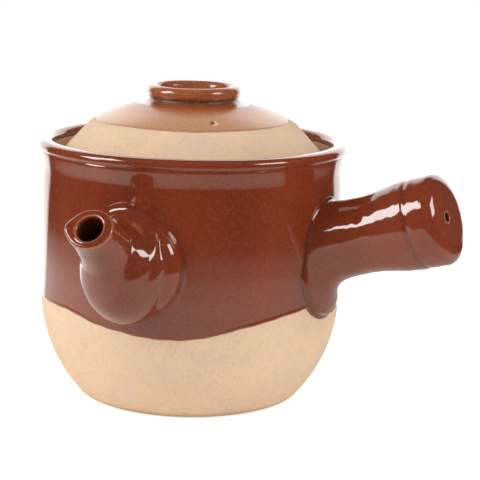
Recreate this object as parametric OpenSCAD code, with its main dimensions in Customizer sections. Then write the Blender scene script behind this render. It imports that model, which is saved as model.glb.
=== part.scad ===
// Stoneware herbal medicine pot: a thrown pot with a side spout and a hollow side handle,
// and a loose domed lid with a ring knob. Units are millimetres.
// The origin is the centre of the flat base, +Z is up and +X runs out along the handle.
// Every glaze coat is a thin solid of its own that lies on the bare clay.

/* [Pot] */
// Outer radius of the bare clay wall
body_r = 88.2; // [82:0.1:96]
// Height where the round bottom meets the straight wall
belly_z = 60; // [54:1:66]
// Height of the top of the rim
rim_z = 150; // [144:1:160]
// Thickness of the wall
wall_t = 6.5; // [5.5:0.5:8]
// Thickness of the floor
floor_t = 8; // [6:0.5:11]
// Width of the scraped edge round the base
foot_edge = 2.5; // [1.5:0.5:4]

/* [Rim and ledge] */
// Radius of the rolled lip's section
lip_r = 4; // [3.5:0.1:4.5]
// How far the lip stands out past the wall
lip_out = 1.6; // [0.8:0.1:2.4]
// Depth of the hollow neck under the lip
neck_in = 1.8; // [1:0.1:2.4]
// Radius of the neck's hollow in section
neck_r = 12; // [10:0.5:16]
// Depth of the lid's ledge below the rim
ledge_drop = 11; // [9:0.5:13]
// Width of the ledge
ledge_w = 10.5; // [9:0.5:12]
// Thickness of the ledge at its inner edge
ledge_t = 5; // [4:0.5:7]

/* [Spout] */
// Angle from the handle round to the spout
spout_turn = 85; // [75:1:105]
// Rise of the spout above level, in degrees
spout_rise = 38; // [32:1:42]
// Distance from the wall out to the centre of the mouth
spout_out = 41; // [38:0.5:46]
// Height of the centre of the mouth
mouth_z = 118.5; // [114:0.5:122]
// Outer radius of the mouth
mouth_r = 13; // [12:0.5:14]
// Radius of the bore in the mouth
mouth_bore_r = 7.6; // [6.5:0.1:8.5]
// Outer radius of the neck behind the mouth
spout_neck_r = 12; // [11:0.5:13]
// Outer radius of the bulb at the root
bulb_r = 26.5; // [25:0.5:28]
// Wall thickness of the bulb
bulb_wall = 5.5; // [4.5:0.5:7]

/* [Strainer] */
// Radius of one strainer hole
hole_r = 2.5; // [2:0.1:3]
// Radius of the ring that the outer strainer holes lie on
hole_ring_r = 11; // [9:0.5:13]
// Number of holes in the ring
hole_count = 6; // [5:1:8]

/* [Handle] */
// Rise of the handle above level, in degrees
handle_rise = 17.4; // [12:0.2:22]
// Height where the handle's axis leaves the wall
handle_z = 98; // [94:0.5:102]
// Length of the handle along its axis, from the wall
handle_len = 78.5; // [70:0.5:90]
// Radius of the grip at its waist
grip_r = 21.2; // [19:0.2:24]
// How much the grip swells towards its end
grip_swell = 4.2; // [2:0.2:6]
// How much wider than the grip the root is where it meets the wall
root_flare = 4.8; // [3.5:0.1:6]
// Wall thickness of the hollow handle
handle_wall = 6; // [5:0.5:8]
// Radius of the vent hole in the handle's end
handle_vent_r = 2.6; // [2:0.1:3.5]

/* [Lid] */
// Radial gap between the lid's edge and the wall round it
lid_gap = 5; // [3:0.5:6]
// Thickness of the lid
lid_t = 5; // [4:0.5:6]
// Height of the lid's upright edge
lid_edge_h = 2.6; // [2:0.2:4]
// Radius of the shoulder, where the flank turns into the crown
shoulder_r = 60.2; // [57:0.2:63]
// Height of the shoulder above the seat
shoulder_h = 20.6; // [18:0.2:24]
// Height of the crown above the seat, where the knob stands
crown_h = 33; // [30:0.5:36]
// Depth of the locating ring under the lid
guide_h = 8; // [6:0.5:10]
// Gap between the locating ring and the ledge
guide_gap = 1.8; // [1:0.1:2.5]
// Radius of the steam hole in the lid
lid_vent_r = 2; // [1.5:0.1:2.6]
// Distance of the steam hole from the lid's axis
lid_vent_at = 47.5; // [42:0.5:52]
// Angle from the handle round to the steam hole
lid_vent_turn = -48; // [-180:1:180]

/* [Knob] */
// Outer radius of the knob's rolled rim
knob_r = 27.3; // [24:0.1:30]
// Height of the knob above the crown
knob_h = 9.6; // [8:0.2:12]
// Radius of the rolled rim's section
knob_bead_r = 3.3; // [2.8:0.1:3.8]
// How far the knob's waist is drawn in below its rim
knob_waist = 1.5; // [1:0.1:2.2]
// Depth of the hollow in the knob
knob_hollow = 6.5; // [5:0.5:8]

/* [Glaze] */
// Thickness of the brown glaze
glaze_t = 0.4; // [0.3:0.05:0.6]
// Thickness of the thin wash on the lid
wash_t = 0.25; // [0.2:0.05:0.35]
// Height of the glaze line at the pot's axis
line_z = 78.7; // [74:0.5:84]
// Tilt of the glaze line, in degrees
line_tilt = 17; // [10:0.5:19]
// Bearing of the glaze line's lowest point, measured from the handle
line_turn = -73; // [-90:1:-50]
// How far the glaze runs down inside the rim
rim_glaze_h = 5; // [4:0.5:6]
// Width of the glazed band on the lid round the knob
band_w = 11; // [8:0.5:14]

/* [Hidden] */
$fn = 96;
crown_fn = 256;
clay = [0.87, 0.74, 0.58];
brown = [0.45, 0.18, 0.10];
liner_brown = [0.36, 0.15, 0.09];
amber = [0.62, 0.36, 0.20];
wash = [0.70, 0.53, 0.38];
// Length that a cut runs on past what it cuts, and one that is longer than the whole pot
over = 1;
reach = 400;

// Pot and rim
inner_r = body_r - wall_t;
lip_x = body_r + lip_out - lip_r;
lip_z = rim_z - lip_r;
neck_z = lip_z - 2 * lip_r;
rim_inner_r = lip_x - lip_r;
ledge_z = rim_z - ledge_drop;
ledge_r = rim_inner_r - ledge_w;
under_z = ledge_z - ledge_t;
slope_z = under_z - (inner_r - ledge_r);
base_r = sqrt(body_r * body_r - belly_z * belly_z);

// The liner glaze stops this far below the ledge's inner edge
liner_stop = 1;

// Lid
seat_z = ledge_z;
lid_r = rim_inner_r - lid_gap;
guide_r = ledge_r - guide_gap;
shoulder_z = seat_z + shoulder_h;
crown_z = seat_z + crown_h;
knob_foot_r = knob_r - knob_waist;
// The crown is part of a ball that passes through the shoulder and the knob's foot
crown_c = (crown_z * crown_z + knob_foot_r * knob_foot_r - shoulder_z * shoulder_z
           - shoulder_r * shoulder_r) / (2 * (crown_z - shoulder_z));
crown_r = sqrt(pow(crown_z - crown_c, 2) + knob_foot_r * knob_foot_r);
edge_z = seat_z + lid_edge_h;
flank_run = lid_r - shoulder_r;
flank_rise = shoulder_z - edge_z;
flank_step = lid_t * sqrt(pow(flank_run, 2) + pow(flank_rise, 2)) / flank_rise;

// Knob
knob_top = crown_z + knob_h;
bead_x = knob_r - knob_bead_r;
bead_z = knob_top - knob_bead_r;
hollow_z = knob_top - knob_hollow;
hollow_r = bead_x - knob_bead_r + 0.5;
hollow_floor_r = hollow_r - knob_hollow / 4;
band_r = knob_r + band_w;

// Spout, along its axis from the mouth inwards
mouth_x = body_r + spout_out;
mouth_lip = mouth_r - mouth_bore_r;
neck_len = 15;
bore_len = neck_len + 3;
cone_end = 28.5;
bulb_s = spout_out / cos(spout_rise) - 5;
bulb_run = 7;
cone_end_r = bulb_r - 7.5;
chamber_r = bulb_r - bulb_wall;
spout_len = bulb_s + bulb_run + bulb_r;
strainer_z = mouth_z - spout_out * tan(spout_rise);

// Handle, along its axis from the pot's axis outwards
handle_start = body_r / cos(handle_rise);
handle_foot_z = handle_z - body_r * tan(handle_rise);
handle_end = handle_start + handle_len;
cap_len = 9;
cap_in = 12;
crease_r = 1.1;
crease_s = handle_end - 19;
root_s = handle_start - 14;
waist_s = handle_start + 25;
flare_len = 12;
swell_len = 32;
handle_bore_r = grip_r - handle_wall;
taper_len = 8;
taper_s = handle_end - handle_wall - taper_len;

function handle_radius(s) =
    grip_r
    + root_flare * exp(-(s - handle_start) / flare_len)
    + grip_swell * (1 - cos(180 * min(1, max(0, (s - waist_s) / swell_len)))) / 2;

// Half a plane to one side of the axis, for cutting sections
module right_half(z0, z1) {
    translate([0, z0])
        square([reach, z1 - z0]);
}

// Outer section of the pot, grown outwards by g
module pot_section(g) {
    difference() {
        union() {
            intersection() {
                translate([0, belly_z])
                    circle(r = body_r + g);
                right_half(0, belly_z);
            }
            translate([0, belly_z])
                square([body_r + g, lip_z - belly_z]);
        }
        translate([body_r - neck_in + neck_r, neck_z])
            circle(r = neck_r - g);
        translate([base_r, 0])
            polygon([[-foot_edge, -over], [-foot_edge, 0], [foot_edge, foot_edge],
                     [foot_edge + over, foot_edge], [foot_edge + over, -over]]);
    }
    translate([lip_x, lip_z])
        circle(r = lip_r + g);
}

// Space inside the pot, shrunk inwards by g
module inner_section(g) {
    intersection() {
        translate([0, belly_z])
            circle(r = inner_r - g);
        right_half(floor_t + g, belly_z);
    }
    polygon([[0, belly_z], [inner_r - g, belly_z], [inner_r - g, slope_z],
             [ledge_r - g, under_z], [0, under_z]]);
}

// Solid of the clay wall without its hollow, which the spout and the handle are cut to
module wall_core() {
    translate([0, 0, belly_z])
        sphere(r = body_r);
    translate([0, 0, belly_z])
        cylinder(r = body_r, h = rim_z - belly_z);
}

// Places a child along the spout's axis, with +Z running in from the mouth
module on_spout() {
    rotate([0, 0, -spout_turn])
        translate([mouth_x, 0, mouth_z])
            rotate([0, -90 - spout_rise, 0])
                children();
}

// Outer section of the spout, grown outwards by g
module spout_section(g) {
    intersection() {
        union() {
            translate([mouth_r - mouth_lip / 2, 0])
                circle(r = mouth_lip / 2 + g);
            square([spout_neck_r + g, cone_end]);
            polygon([[0, neck_len], [spout_neck_r + g, neck_len],
                     [cone_end_r + g, cone_end], [0, cone_end]]);
        }
        right_half(-reach, cone_end);
    }
    intersection() {
        translate([0, bulb_s])
            circle(r = bulb_r + g);
        right_half(0, bulb_s);
    }
    translate([0, bulb_s])
        square([bulb_r + g, bulb_run]);
    intersection() {
        translate([0, bulb_s + bulb_run])
            circle(r = bulb_r + g);
        right_half(bulb_s + bulb_run, spout_len + over);
    }
}

// Passage through the spout
module spout_passage() {
    translate([0, 0, -mouth_r])
        cylinder(r = mouth_bore_r, h = mouth_r + bore_len);
    translate([0, 0, bore_len])
        cylinder(r1 = mouth_bore_r, r2 = chamber_r, h = bulb_s - bore_len);
    translate([0, 0, bulb_s])
        cylinder(r = chamber_r, h = spout_len);
}

module spout_outer(g) {
    on_spout()
        rotate_extrude()
            spout_section(g);
}

// Places a child along the handle's axis, with +Z running outwards
module on_handle() {
    translate([0, 0, handle_foot_z])
        rotate([0, 90 - handle_rise, 0])
            children();
}

// Outer section of the handle, grown outwards by g
module handle_section(g) {
    cap_s = handle_end - cap_len;
    difference() {
        polygon(concat(
            [[0, root_s]],
            [for (i = [0:24]) let (s = root_s + (cap_s - root_s) * i / 24)
                [handle_radius(s) + g, s]],
            [for (a = [15:15:75])
                [handle_radius(cap_s) - cap_in * (1 - cos(a)) + g * cos(a),
                 cap_s + (cap_len + g) * sin(a)]],
            [[handle_radius(cap_s) - cap_in, handle_end + g], [0, handle_end + g]]));
        translate([handle_radius(crease_s) + 0.5, crease_s])
            circle(r = crease_r - g / 2, $fn = 32);
    }
}

module handle_outer(g) {
    on_handle()
        rotate_extrude()
            handle_section(g);
}

// Space inside the hollow handle, closed at the end but for the vent hole
module handle_hollow() {
    on_handle() {
        translate([0, 0, root_s - over])
            cylinder(r = handle_bore_r, h = taper_s - root_s + over);
        translate([0, 0, taper_s])
            cylinder(r1 = handle_bore_r, r2 = handle_bore_r - handle_wall, h = taper_len);
        translate([0, 0, taper_s])
            cylinder(r = handle_vent_r, h = handle_end - taper_s + over);
    }
}

// Strainer holes through the wall behind the spout
module strainer_holes() {
    rotate([0, 0, -spout_turn])
        translate([inner_r - wall_t, 0, strainer_z])
            rotate([0, 90, 0]) {
                cylinder(r = hole_r, h = 3 * wall_t);
                for (i = [0:hole_count - 1])
                    rotate([0, 0, i * 360 / hole_count])
                        translate([hole_ring_r, 0, 0])
                            cylinder(r = hole_r, h = 3 * wall_t);
            }
}

// Everything above the tilted glaze line
module above_line() {
    translate([0, 0, line_z])
        rotate([0, 0, line_turn])
            rotate([0, line_tilt, 0])
                translate([-reach / 2, -reach / 2, 0])
                    cube([reach, reach, reach / 2]);
}

module pot_body() {
    color(clay)
        difference() {
            rotate_extrude()
                difference() {
                    pot_section(0);
                    inner_section(0);
                    translate([0, under_z])
                        square([ledge_r, ledge_t]);
                    translate([0, ledge_z])
                        square([rim_inner_r, ledge_drop + over]);
                }
            strainer_holes();
        }
}

module spout() {
    color(clay)
        difference() {
            spout_outer(0);
            on_spout()
                spout_passage();
            wall_core();
        }
}

module handle() {
    color(clay)
        difference() {
            handle_outer(0);
            handle_hollow();
            wall_core();
        }
}

module pot_glaze() {
    color(brown)
        difference() {
            intersection() {
                rotate_extrude()
                    difference() {
                        pot_section(glaze_t);
                        pot_section(0);
                        square([lip_x, rim_z - rim_glaze_h]);
                    }
                above_line();
            }
            spout_outer(glaze_t);
            handle_outer(glaze_t);
        }
}

module liner_glaze() {
    color(liner_brown)
        difference() {
            rotate_extrude()
                difference() {
                    inner_section(0);
                    inner_section(glaze_t);
                    translate([0, under_z - liner_stop])
                        square([reach, reach]);
                }
            strainer_holes();
        }
}

module spout_glaze() {
    color(brown)
        difference() {
            spout_outer(glaze_t);
            spout_outer(0);
            on_spout()
                spout_passage();
            wall_core();
        }
}

module handle_glaze() {
    color(brown)
        difference() {
            handle_outer(glaze_t);
            handle_outer(0);
            handle_hollow();
            wall_core();
        }
}

// Outer section of the lid's dome
module dome_section() {
    intersection() {
        translate([0, crown_c])
            circle(r = crown_r, $fn = crown_fn);
        polygon([[0, seat_z], [lid_r, seat_z], [lid_r, edge_z], [shoulder_r, shoulder_z],
                 [shoulder_r - flank_run, shoulder_z + flank_rise], [0, shoulder_z + reach]]);
    }
}

module lid_vent() {
    rotate([0, 0, lid_vent_turn])
        translate([lid_vent_at, 0, seat_z])
            cylinder(r = lid_vent_r, h = crown_h + 10);
}

module lid_dome() {
    color(clay)
        difference() {
            rotate_extrude() {
                difference() {
                    dome_section();
                    intersection() {
                        translate([0, crown_c])
                            circle(r = crown_r - lid_t, $fn = crown_fn);
                        polygon([[0, seat_z - 1],
                                 [lid_r - flank_step, seat_z - 1],
                                 [lid_r - flank_step, edge_z],
                                 [shoulder_r - flank_step, shoulder_z],
                                 [shoulder_r - flank_step, shoulder_z + reach],
                                 [0, shoulder_z + reach]]);
                    }
                }
                translate([guide_r - lid_t, seat_z - guide_h])
                    square([lid_t, guide_h + lid_edge_h + lid_t]);
            }
            lid_vent();
        }
}

// Section of the knob, grown outwards by g
module knob_section(g) {
    difference() {
        union() {
            translate([bead_x, bead_z])
                circle(r = knob_bead_r + g);
            square([knob_foot_r + g, bead_z]);
        }
        polygon([[0, hollow_z + g], [hollow_floor_r - g, hollow_z + g], [hollow_r - g, bead_z],
                 [hollow_r - g, knob_top + lid_t], [0, knob_top + lid_t]]);
    }
}

// Inside of the ball that the crown is part of
module crown_ball(g) {
    translate([0, 0, crown_c])
        sphere(r = crown_r + g, $fn = crown_fn);
}

module lid_knob() {
    color(clay)
        difference() {
            rotate_extrude()
                intersection() {
                    knob_section(0);
                    right_half(crown_c, knob_top + lid_t);
                }
            crown_ball(0);
        }
}

module lid_wash() {
    color(wash)
        difference() {
            intersection() {
                crown_ball(wash_t);
                cylinder(r = shoulder_r, h = reach);
            }
            crown_ball(0);
            cylinder(r = band_r, h = reach);
            lid_vent();
        }
}

module knob_glaze() {
    color(amber)
        difference() {
            union() {
                rotate_extrude()
                    intersection() {
                        knob_section(glaze_t);
                        right_half(crown_c, knob_top + lid_t);
                    }
                intersection() {
                    crown_ball(glaze_t);
                    cylinder(r = band_r, h = reach);
                }
            }
            rotate_extrude()
                knob_section(0);
            crown_ball(0);
        }
}

pot_body();
spout();
handle();
pot_glaze();
liner_glaze();
spout_glaze();
handle_glaze();
lid_dome();
lid_knob();
lid_wash();
knob_glaze();
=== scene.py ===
"""Looks of a stoneware herbal medicine pot with a side spout, a hollow side handle and a loose lid.

Lengths are in metres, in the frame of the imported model: the origin is the centre of the flat base, +Z is
up, +X runs out along the handle, and the spout points towards -Y. The file is laid out as an add-on: sizes
and colours are properties, each piece has an operator, and main() calls them in order.
"""

import math

import bmesh
import bpy
import numpy as np
from bpy.props import FloatProperty, FloatVectorProperty, IntProperty, PointerProperty
from mathutils import Matrix, Quaternion, Vector


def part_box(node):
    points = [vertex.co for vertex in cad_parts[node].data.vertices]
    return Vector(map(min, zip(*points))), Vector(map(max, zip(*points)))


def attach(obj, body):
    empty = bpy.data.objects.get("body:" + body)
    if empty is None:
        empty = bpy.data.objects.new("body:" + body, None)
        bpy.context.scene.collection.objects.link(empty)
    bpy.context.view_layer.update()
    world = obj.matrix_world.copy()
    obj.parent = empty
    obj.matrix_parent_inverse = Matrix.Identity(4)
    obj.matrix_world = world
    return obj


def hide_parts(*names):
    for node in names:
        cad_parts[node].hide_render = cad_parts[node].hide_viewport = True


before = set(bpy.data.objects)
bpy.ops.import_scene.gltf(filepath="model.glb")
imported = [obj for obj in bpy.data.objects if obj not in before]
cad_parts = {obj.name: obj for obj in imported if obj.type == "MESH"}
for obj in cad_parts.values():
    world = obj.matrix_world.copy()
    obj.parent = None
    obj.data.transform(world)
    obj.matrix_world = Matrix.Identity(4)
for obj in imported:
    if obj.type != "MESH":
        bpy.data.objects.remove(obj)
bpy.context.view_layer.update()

bl_info = {
    "name": "Herbal medicine pot",
    "version": (1, 0, 0),
    "blender": (4, 5, 0),
    "location": "3D View > Sidebar > Pot",
    "description": "Builds a glazed stoneware medicine pot with its lid, finishes and studio",
    "category": "Add Mesh",
}

MM = 0.001
FULL_TURN = 2 * math.pi
UP = np.array([0, 0, 1.0])
POT_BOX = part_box("pot_body")
KNOB_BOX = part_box("lid_knob")
RIM_HEIGHT = POT_BOX[1].z
LIP_OUTER = POT_BOX[1].x
KNOB_TOP = KNOB_BOX[1].z
KNOB_OUTER = KNOB_BOX[1].x


# ---------------------------------------------------------------- properties


def length(name, description, millimetres):
    """A length property, given in millimetres and kept in metres."""
    return FloatProperty(
        name=name, description=description, default=millimetres * MM, subtype="DISTANCE", unit="LENGTH"
    )


def turn(name, description, degrees):
    """An angle property, given in degrees."""
    return FloatProperty(
        name=name, description=description, default=math.radians(degrees), subtype="ANGLE", unit="ROTATION"
    )


def colour(name, description, value):
    """A colour property, in linear values."""
    return FloatVectorProperty(
        name=name, description=description, default=value, subtype="COLOR", size=3, min=0.0, max=1.0
    )


def share(name, description, value, most=1.0):
    """A plain number property."""
    return FloatProperty(name=name, description=description, default=value, min=0.0, max=most)


def whole(name, description, value, least, most):
    """A whole number property."""
    return IntProperty(name=name, description=description, default=value, min=least, max=most)


class PotSettings(bpy.types.PropertyGroup):
    """Sizes of the thrown pot."""

    wall_radius: length("Wall radius", "Outer radius of the bare clay wall", 88.2)
    belly_height: length("Belly height", "Height where the round bottom meets the straight wall", 60)
    foot_rounding: length("Foot rounding", "Radius of the rounded edge of the base", 5)
    wall_thickness: length("Wall thickness", "Thickness of the wall", 6.5)
    floor_thickness: length("Floor thickness", "Thickness of the floor", 8)
    lip_width: length("Lip width", "Width of the rolled lip", 8)
    lip_height: length("Lip height", "Height of the rolled lip", 6.3)
    neck_depth: length("Neck depth", "How far the wall draws in below the flared neck", 0.8)
    neck_height: length("Neck height", "Height of the flared neck under the lip", 9.6)
    neck_flare: length("Neck flare", "How far the neck flares out again under the lip", 1.35)
    neck_run: length("Neck run", "Height over which the wall draws in below the neck", 26)
    ledge_drop: length("Ledge drop", "Depth of the lid's ledge below the rim", 11)
    ledge_width: length("Ledge width", "Width of the ledge", 10.5)
    ledge_thickness: length("Ledge thickness", "Thickness of the ledge at its inner edge", 5)
    strainer_radius: length("Strainer hole radius", "Radius of one strainer hole", 2.5)
    strainer_ring: length("Strainer ring", "Radius of the ring of strainer holes", 11)
    strainer_count: whole("Strainer holes", "Holes in the ring", 6, 3, 12)
    segments: whole("Segments", "Steps round the pot", 288, 48, 720)


class GlazeSettings(bpy.types.PropertyGroup):
    """The dipped glaze coat."""

    thickness: length("Thickness", "Thickness of the brown glaze", 0.4)
    edge_swell: length("Edge swell", "How much thicker the glaze is along its lower edge", 0.15)
    edge_width: length("Edge width", "Width of the thick lower edge", 1.6)
    line_waver: length("Line waver", "Small unevenness of the glaze line", 0.35)
    rim_run: length("Rim run", "How far the glaze runs down inside the rim", 5)
    wash_thickness: length("Wash thickness", "Thickness of the thin wash on the lid", 0.25)


class SpoutSettings(bpy.types.PropertyGroup):
    """Sizes of the thrown spout."""

    bearing: turn("Bearing", "Angle from the handle round to the spout", -85)
    rise: turn("Rise", "Rise of the spout above level", 38)
    reach: length("Reach", "Distance from the wall out to the centre of the mouth", 41)
    mouth_height: length("Mouth height", "Height of the centre of the mouth", 118.5)
    mouth_aside: length("Mouth aside", "How far the mouth sits to the handle's side", 1.1)
    mouth_radius: length("Mouth radius", "Outer radius of the mouth", 12.2)
    bore_radius: length("Bore radius", "Radius of the bore in the mouth", 7.1)
    neck_radius: length("Neck radius", "Outer radius of the neck behind the mouth", 12.2)
    bulb_width: length("Bulb half width", "Half the width of the bulb at the root", 25.3)
    bulb_height: length("Bulb half height", "Half the height of the bulb at the root", 31)
    bulb_depth: length("Bulb depth", "How far the bulb stands out from its centre", 26)
    bulb_out: length("Bulb out", "How far the bulb's centre lies outside the wall's face", 2.8)
    bulb_aside: length("Bulb aside", "How far the bulb sits to the handle's side of the spout", 3.5)
    bulb_middle: length("Bulb middle", "Height of the bulb's centre", 90.5)
    valley_depth: length("Valley depth", "Depth of the valley between the neck and the bulb's top", 5.3)
    collar_width: length("Collar half width", "Half the width of the clay smeared round the root", 27.0)
    collar_height: length("Collar half height", "Half the height of the clay smeared round the root", 28)
    collar_depth: length("Collar depth", "How far the smeared clay stands out from the wall", 13)
    collar_aside: length("Collar aside", "How far the smeared clay sits to the handle's side", 7.2)
    chamber_radius: length("Chamber radius", "Radius of the hollow in the bulb", 17)
    fillet: length("Fillet", "Size of the smoothed joint with the wall", 4)
    segments: whole("Segments", "Steps round the spout", 180, 48, 720)


class HandleSettings(bpy.types.PropertyGroup):
    """Sizes of the hollow handle."""

    rise: turn("Rise", "Rise of the handle above level", 17.4)
    foot_height: length("Foot height", "Height where the handle's axis leaves the wall", 98)
    reach: length("Length", "Length of the handle along its axis, from the wall", 77.4)
    grip_radius: length("Grip radius", "Radius of the grip at its waist", 21.2)
    grip_swell: length("Grip swell", "How much the grip swells towards its end", 3.8)
    root_flare: length("Root flare", "How much wider the root is where it meets the wall", 4.2)
    root_lean: length("Root lean", "How much slimmer the root is from front to back", 0.9)
    wall: length("Wall", "Wall thickness of the hollow handle", 6)
    vent_radius: length("Vent radius", "Radius of the vent hole in the handle's end", 3.0)
    vent_aside: length("Vent aside", "How far the vent sits to the spout's side of the end's middle", 6.2)
    vent_above: length("Vent above", "How far the vent sits above the end's middle", 1.0)
    groove_place: length("Groove place", "Distance of the groove from the end", 18.6)
    groove_depth: length("Groove depth", "Depth of the groove", 0.34)
    cap_length: length("Cap length", "Length of the handle's rounded end", 7.2)
    cap_rounding: length("Cap rounding", "How far in from the side the end is rounded", 10.5)
    fillet: length("Fillet", "Size of the smoothed joint with the wall", 2.2)
    segments: whole("Segments", "Steps round the handle", 160, 48, 720)


class LidSettings(bpy.types.PropertyGroup):
    """Sizes of the lid and its knob."""

    edge_radius: length("Edge radius", "Outer radius of the lid's upright edge", 76.8)
    edge_height: length("Edge height", "Height of the lid's upright edge above its seat", 2.6)
    thickness: length("Thickness", "Thickness of the lid", 5)
    shoulder_radius: length("Shoulder radius", "Radius where the flank turns into the crown", 60.2)
    shoulder_height: length("Shoulder height", "Height of the shoulder above the seat", 20.6)
    crown_height: length("Crown height", "Height of the crown above the seat, at the knob's foot", 33)
    guide_depth: length("Guide depth", "Depth of the locating ring under the lid", 8)
    guide_radius: length("Guide radius", "Outer radius of the locating ring", 69.5)
    vent_radius: length("Vent radius", "Radius of the steam hole", 1.9)
    vent_distance: length("Vent distance", "Distance of the steam hole from the lid's axis", 47.5)
    vent_bearing: turn("Vent bearing", "Angle from the handle round to the steam hole", -48)
    warp: length("Warp", "Unevenness of the height of the crown and the knob", 0.12)
    wash_edge: length("Wash edge", "Radius where the wash ends", 57)
    band_edge: length("Band edge", "Radius where the amber glaze round the knob ends", 33)
    band_fade: length("Band fade", "Radius by which the amber tint has faded into the wash", 48)
    bead_radius: length("Bead radius", "Half the thickness of the rolled rim of the knob", 3.3)
    bead_half: length("Bead half height", "Half the height of the rolled rim of the knob", 3.8)
    waist: length("Waist", "How far the knob's waist is drawn in below its rim", 1.7)
    hollow: length("Hollow", "Depth of the hollow in the knob", 6.5)
    seam_height: length("Seam height", "Height of the crease where the knob meets the crown", 173.7)
    knob_segments: whole("Knob segments", "Steps round the knob", 224, 48, 720)


class FinishSettings(bpy.types.PropertyGroup):
    """Colours and gloss of the clay and the glazes."""

    clay: colour("Clay", "Bare tan clay", (0.70, 0.50, 0.325))
    clay_dark: colour("Clay grain", "Darker grains and smudges in the clay", (0.50, 0.36, 0.24))
    clay_smudge: colour("Clay smudges", "Cooler smudges on the clay", (0.66, 0.49, 0.39))
    # Painted shade: a darker warm brown towards the bottom of the base, where the surface curves under
    painted_foot_shade: colour("Clay foot", "Warmer clay along the edge of the base", (0.42, 0.24, 0.10))
    glaze: colour("Glaze", "Red-brown iron glaze", (0.192, 0.030, 0.0100))
    # The deep glaze colour is pooled glaze in joints and grooves, and also painted shade inside the spout's
    # bore and bulb and the hollow handle
    deep_glaze_and_shade: colour("Deep glaze", "The same glaze where it is thick", (0.075, 0.012, 0.006))
    glaze_thin: colour("Thin glaze", "The same glaze where it thins over an edge", (0.42, 0.13, 0.04))
    liner: colour("Liner", "Dark glaze inside the pot", (0.11, 0.022, 0.010))
    amber: colour("Amber", "Amber glaze on the knob", (0.30, 0.078, 0.022))
    amber_thin: colour("Thin amber", "The amber glaze where it is thin", (0.42, 0.155, 0.062))
    # The deep amber is gathered glaze, and also painted shade in the knob's waist under its rim
    deep_amber_and_shade: colour("Deep amber", "The amber glaze where it gathers", (0.105, 0.028, 0.012))
    wash: colour("Wash", "Thin light-brown wash on the lid", (0.53, 0.27, 0.14))
    wash_edge: colour("Wash edge", "The wash where it is thicker, along its edge", (0.44, 0.21, 0.10))
    wash_tint: colour("Wash tint", "The wash next to the amber glaze", (0.355, 0.104, 0.034))
    gloss: share("Gloss roughness", "Roughness of the glossy glaze", 0.05)


class StageSettings(bpy.types.PropertyGroup):
    """Camera, floor and lamps."""

    azimuth: turn("Azimuth", "Bearing of the camera round the pot", 29.5)
    elevation: turn("Elevation", "Height angle of the camera", 12.47)
    distance: length("Distance", "Distance of the camera", 938.4)
    pivot_height: length("Pivot height", "Height that the camera circles round", 75)
    aim_side: length("Aim aside", "How far to the right of the axis the camera aims", 28.95)
    aim_height: length("Aim height", "Height that the camera aims at", 89.74)
    roll: turn("Roll", "Tilt of the camera round its own line of sight", 1.48)
    lens: FloatProperty(name="Lens", description="Focal length in millimetres", default=118.23, min=10.0)
    floor_size: length("Floor size", "Width of the floor", 9000)
    fill: share("Fill", "Strength of the surroundings' light", 0.57)
    backdrop: share("Backdrop", "Brightness behind the pot, as gloss shows it", 1.9, 4.0)
    ceiling: share("Ceiling", "Brightness overhead and in front, as gloss shows it", 0.06)
    floor_lift: share("Floor lift", "Light that the floor gives the underside of the pot", 0.26)
    floor_glow: share("Floor glow", "Extra light of the floor as the camera sees it", 0.55)
    floor_tone: colour("Floor", "The pale floor", (0.82, 0.82, 0.82))
    # As gloss sees them, these floor colours are painted light and shade: warm near the pot for light bounced
    # off the clay, paler to the left, and dark far in front
    gloss_near: colour("Floor near", "The floor near the pot, as gloss shows it", (0.73, 0.71, 0.66))
    gloss_left: colour("Floor left", "The floor to the left, as gloss shows it", (1.0, 0.97, 0.92))
    gloss_far: colour("Floor far", "The floor far in front, as gloss shows it", (0.03, 0.03, 0.03))


GROUPS = {
    "pot": PotSettings,
    "glaze": GlazeSettings,
    "spout": SpoutSettings,
    "handle": HandleSettings,
    "lid": LidSettings,
    "finish": FinishSettings,
    "stage": StageSettings,
}


def settings(context, group):
    """One of this add-on's groups of properties."""
    return getattr(context.scene, "herbal_" + group)


# ---------------------------------------------------------------- section lines


def arc(centre, radius, start, end, steps=32):
    """Points on an arc of a section, from one angle to another, in degrees."""
    angles = np.radians(np.linspace(start, end, steps))
    return np.stack([centre[0] + radius * np.cos(angles), centre[1] + radius * np.sin(angles)], axis=1)


def join_lines(*parts):
    """One section line from several lists of points."""
    return np.concatenate([np.reshape(np.array(part, float), (-1, 2)) for part in parts])


def lengths_along(line):
    """Distance of each point from the line's start, along the line."""
    return np.r_[0, np.cumsum(np.linalg.norm(np.diff(line, axis=0), axis=1))]


def soften(line, rounding, step=0.25 * MM):
    """The line resampled evenly, with its corners rounded off and its ends kept."""
    lengths = lengths_along(line)
    even = np.linspace(0, lengths[-1], max(int(lengths[-1] / step), 8) + 1)
    smooth = np.stack([np.interp(even, lengths, line[:, k]) for k in (0, 1)], axis=1)
    reach = int(3 * rounding / step)
    kernel = np.exp(-0.5 * (np.arange(-reach, reach + 1) * step / rounding) ** 2)
    before = 2 * smooth[0] - smooth[reach:0:-1]
    after = 2 * smooth[-1] - smooth[-2 : -reach - 2 : -1]
    padded = np.concatenate([before, smooth, after])
    kernel /= kernel.sum()
    return np.stack([np.convolve(column, kernel, mode="valid") for column in padded.T], axis=1)


def soften_closed(line, rounding):
    """A softened line that starts and ends on the upright axis."""
    line = soften(line, rounding)
    line[0, 0] = line[-1, 0] = 0
    return line


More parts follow.
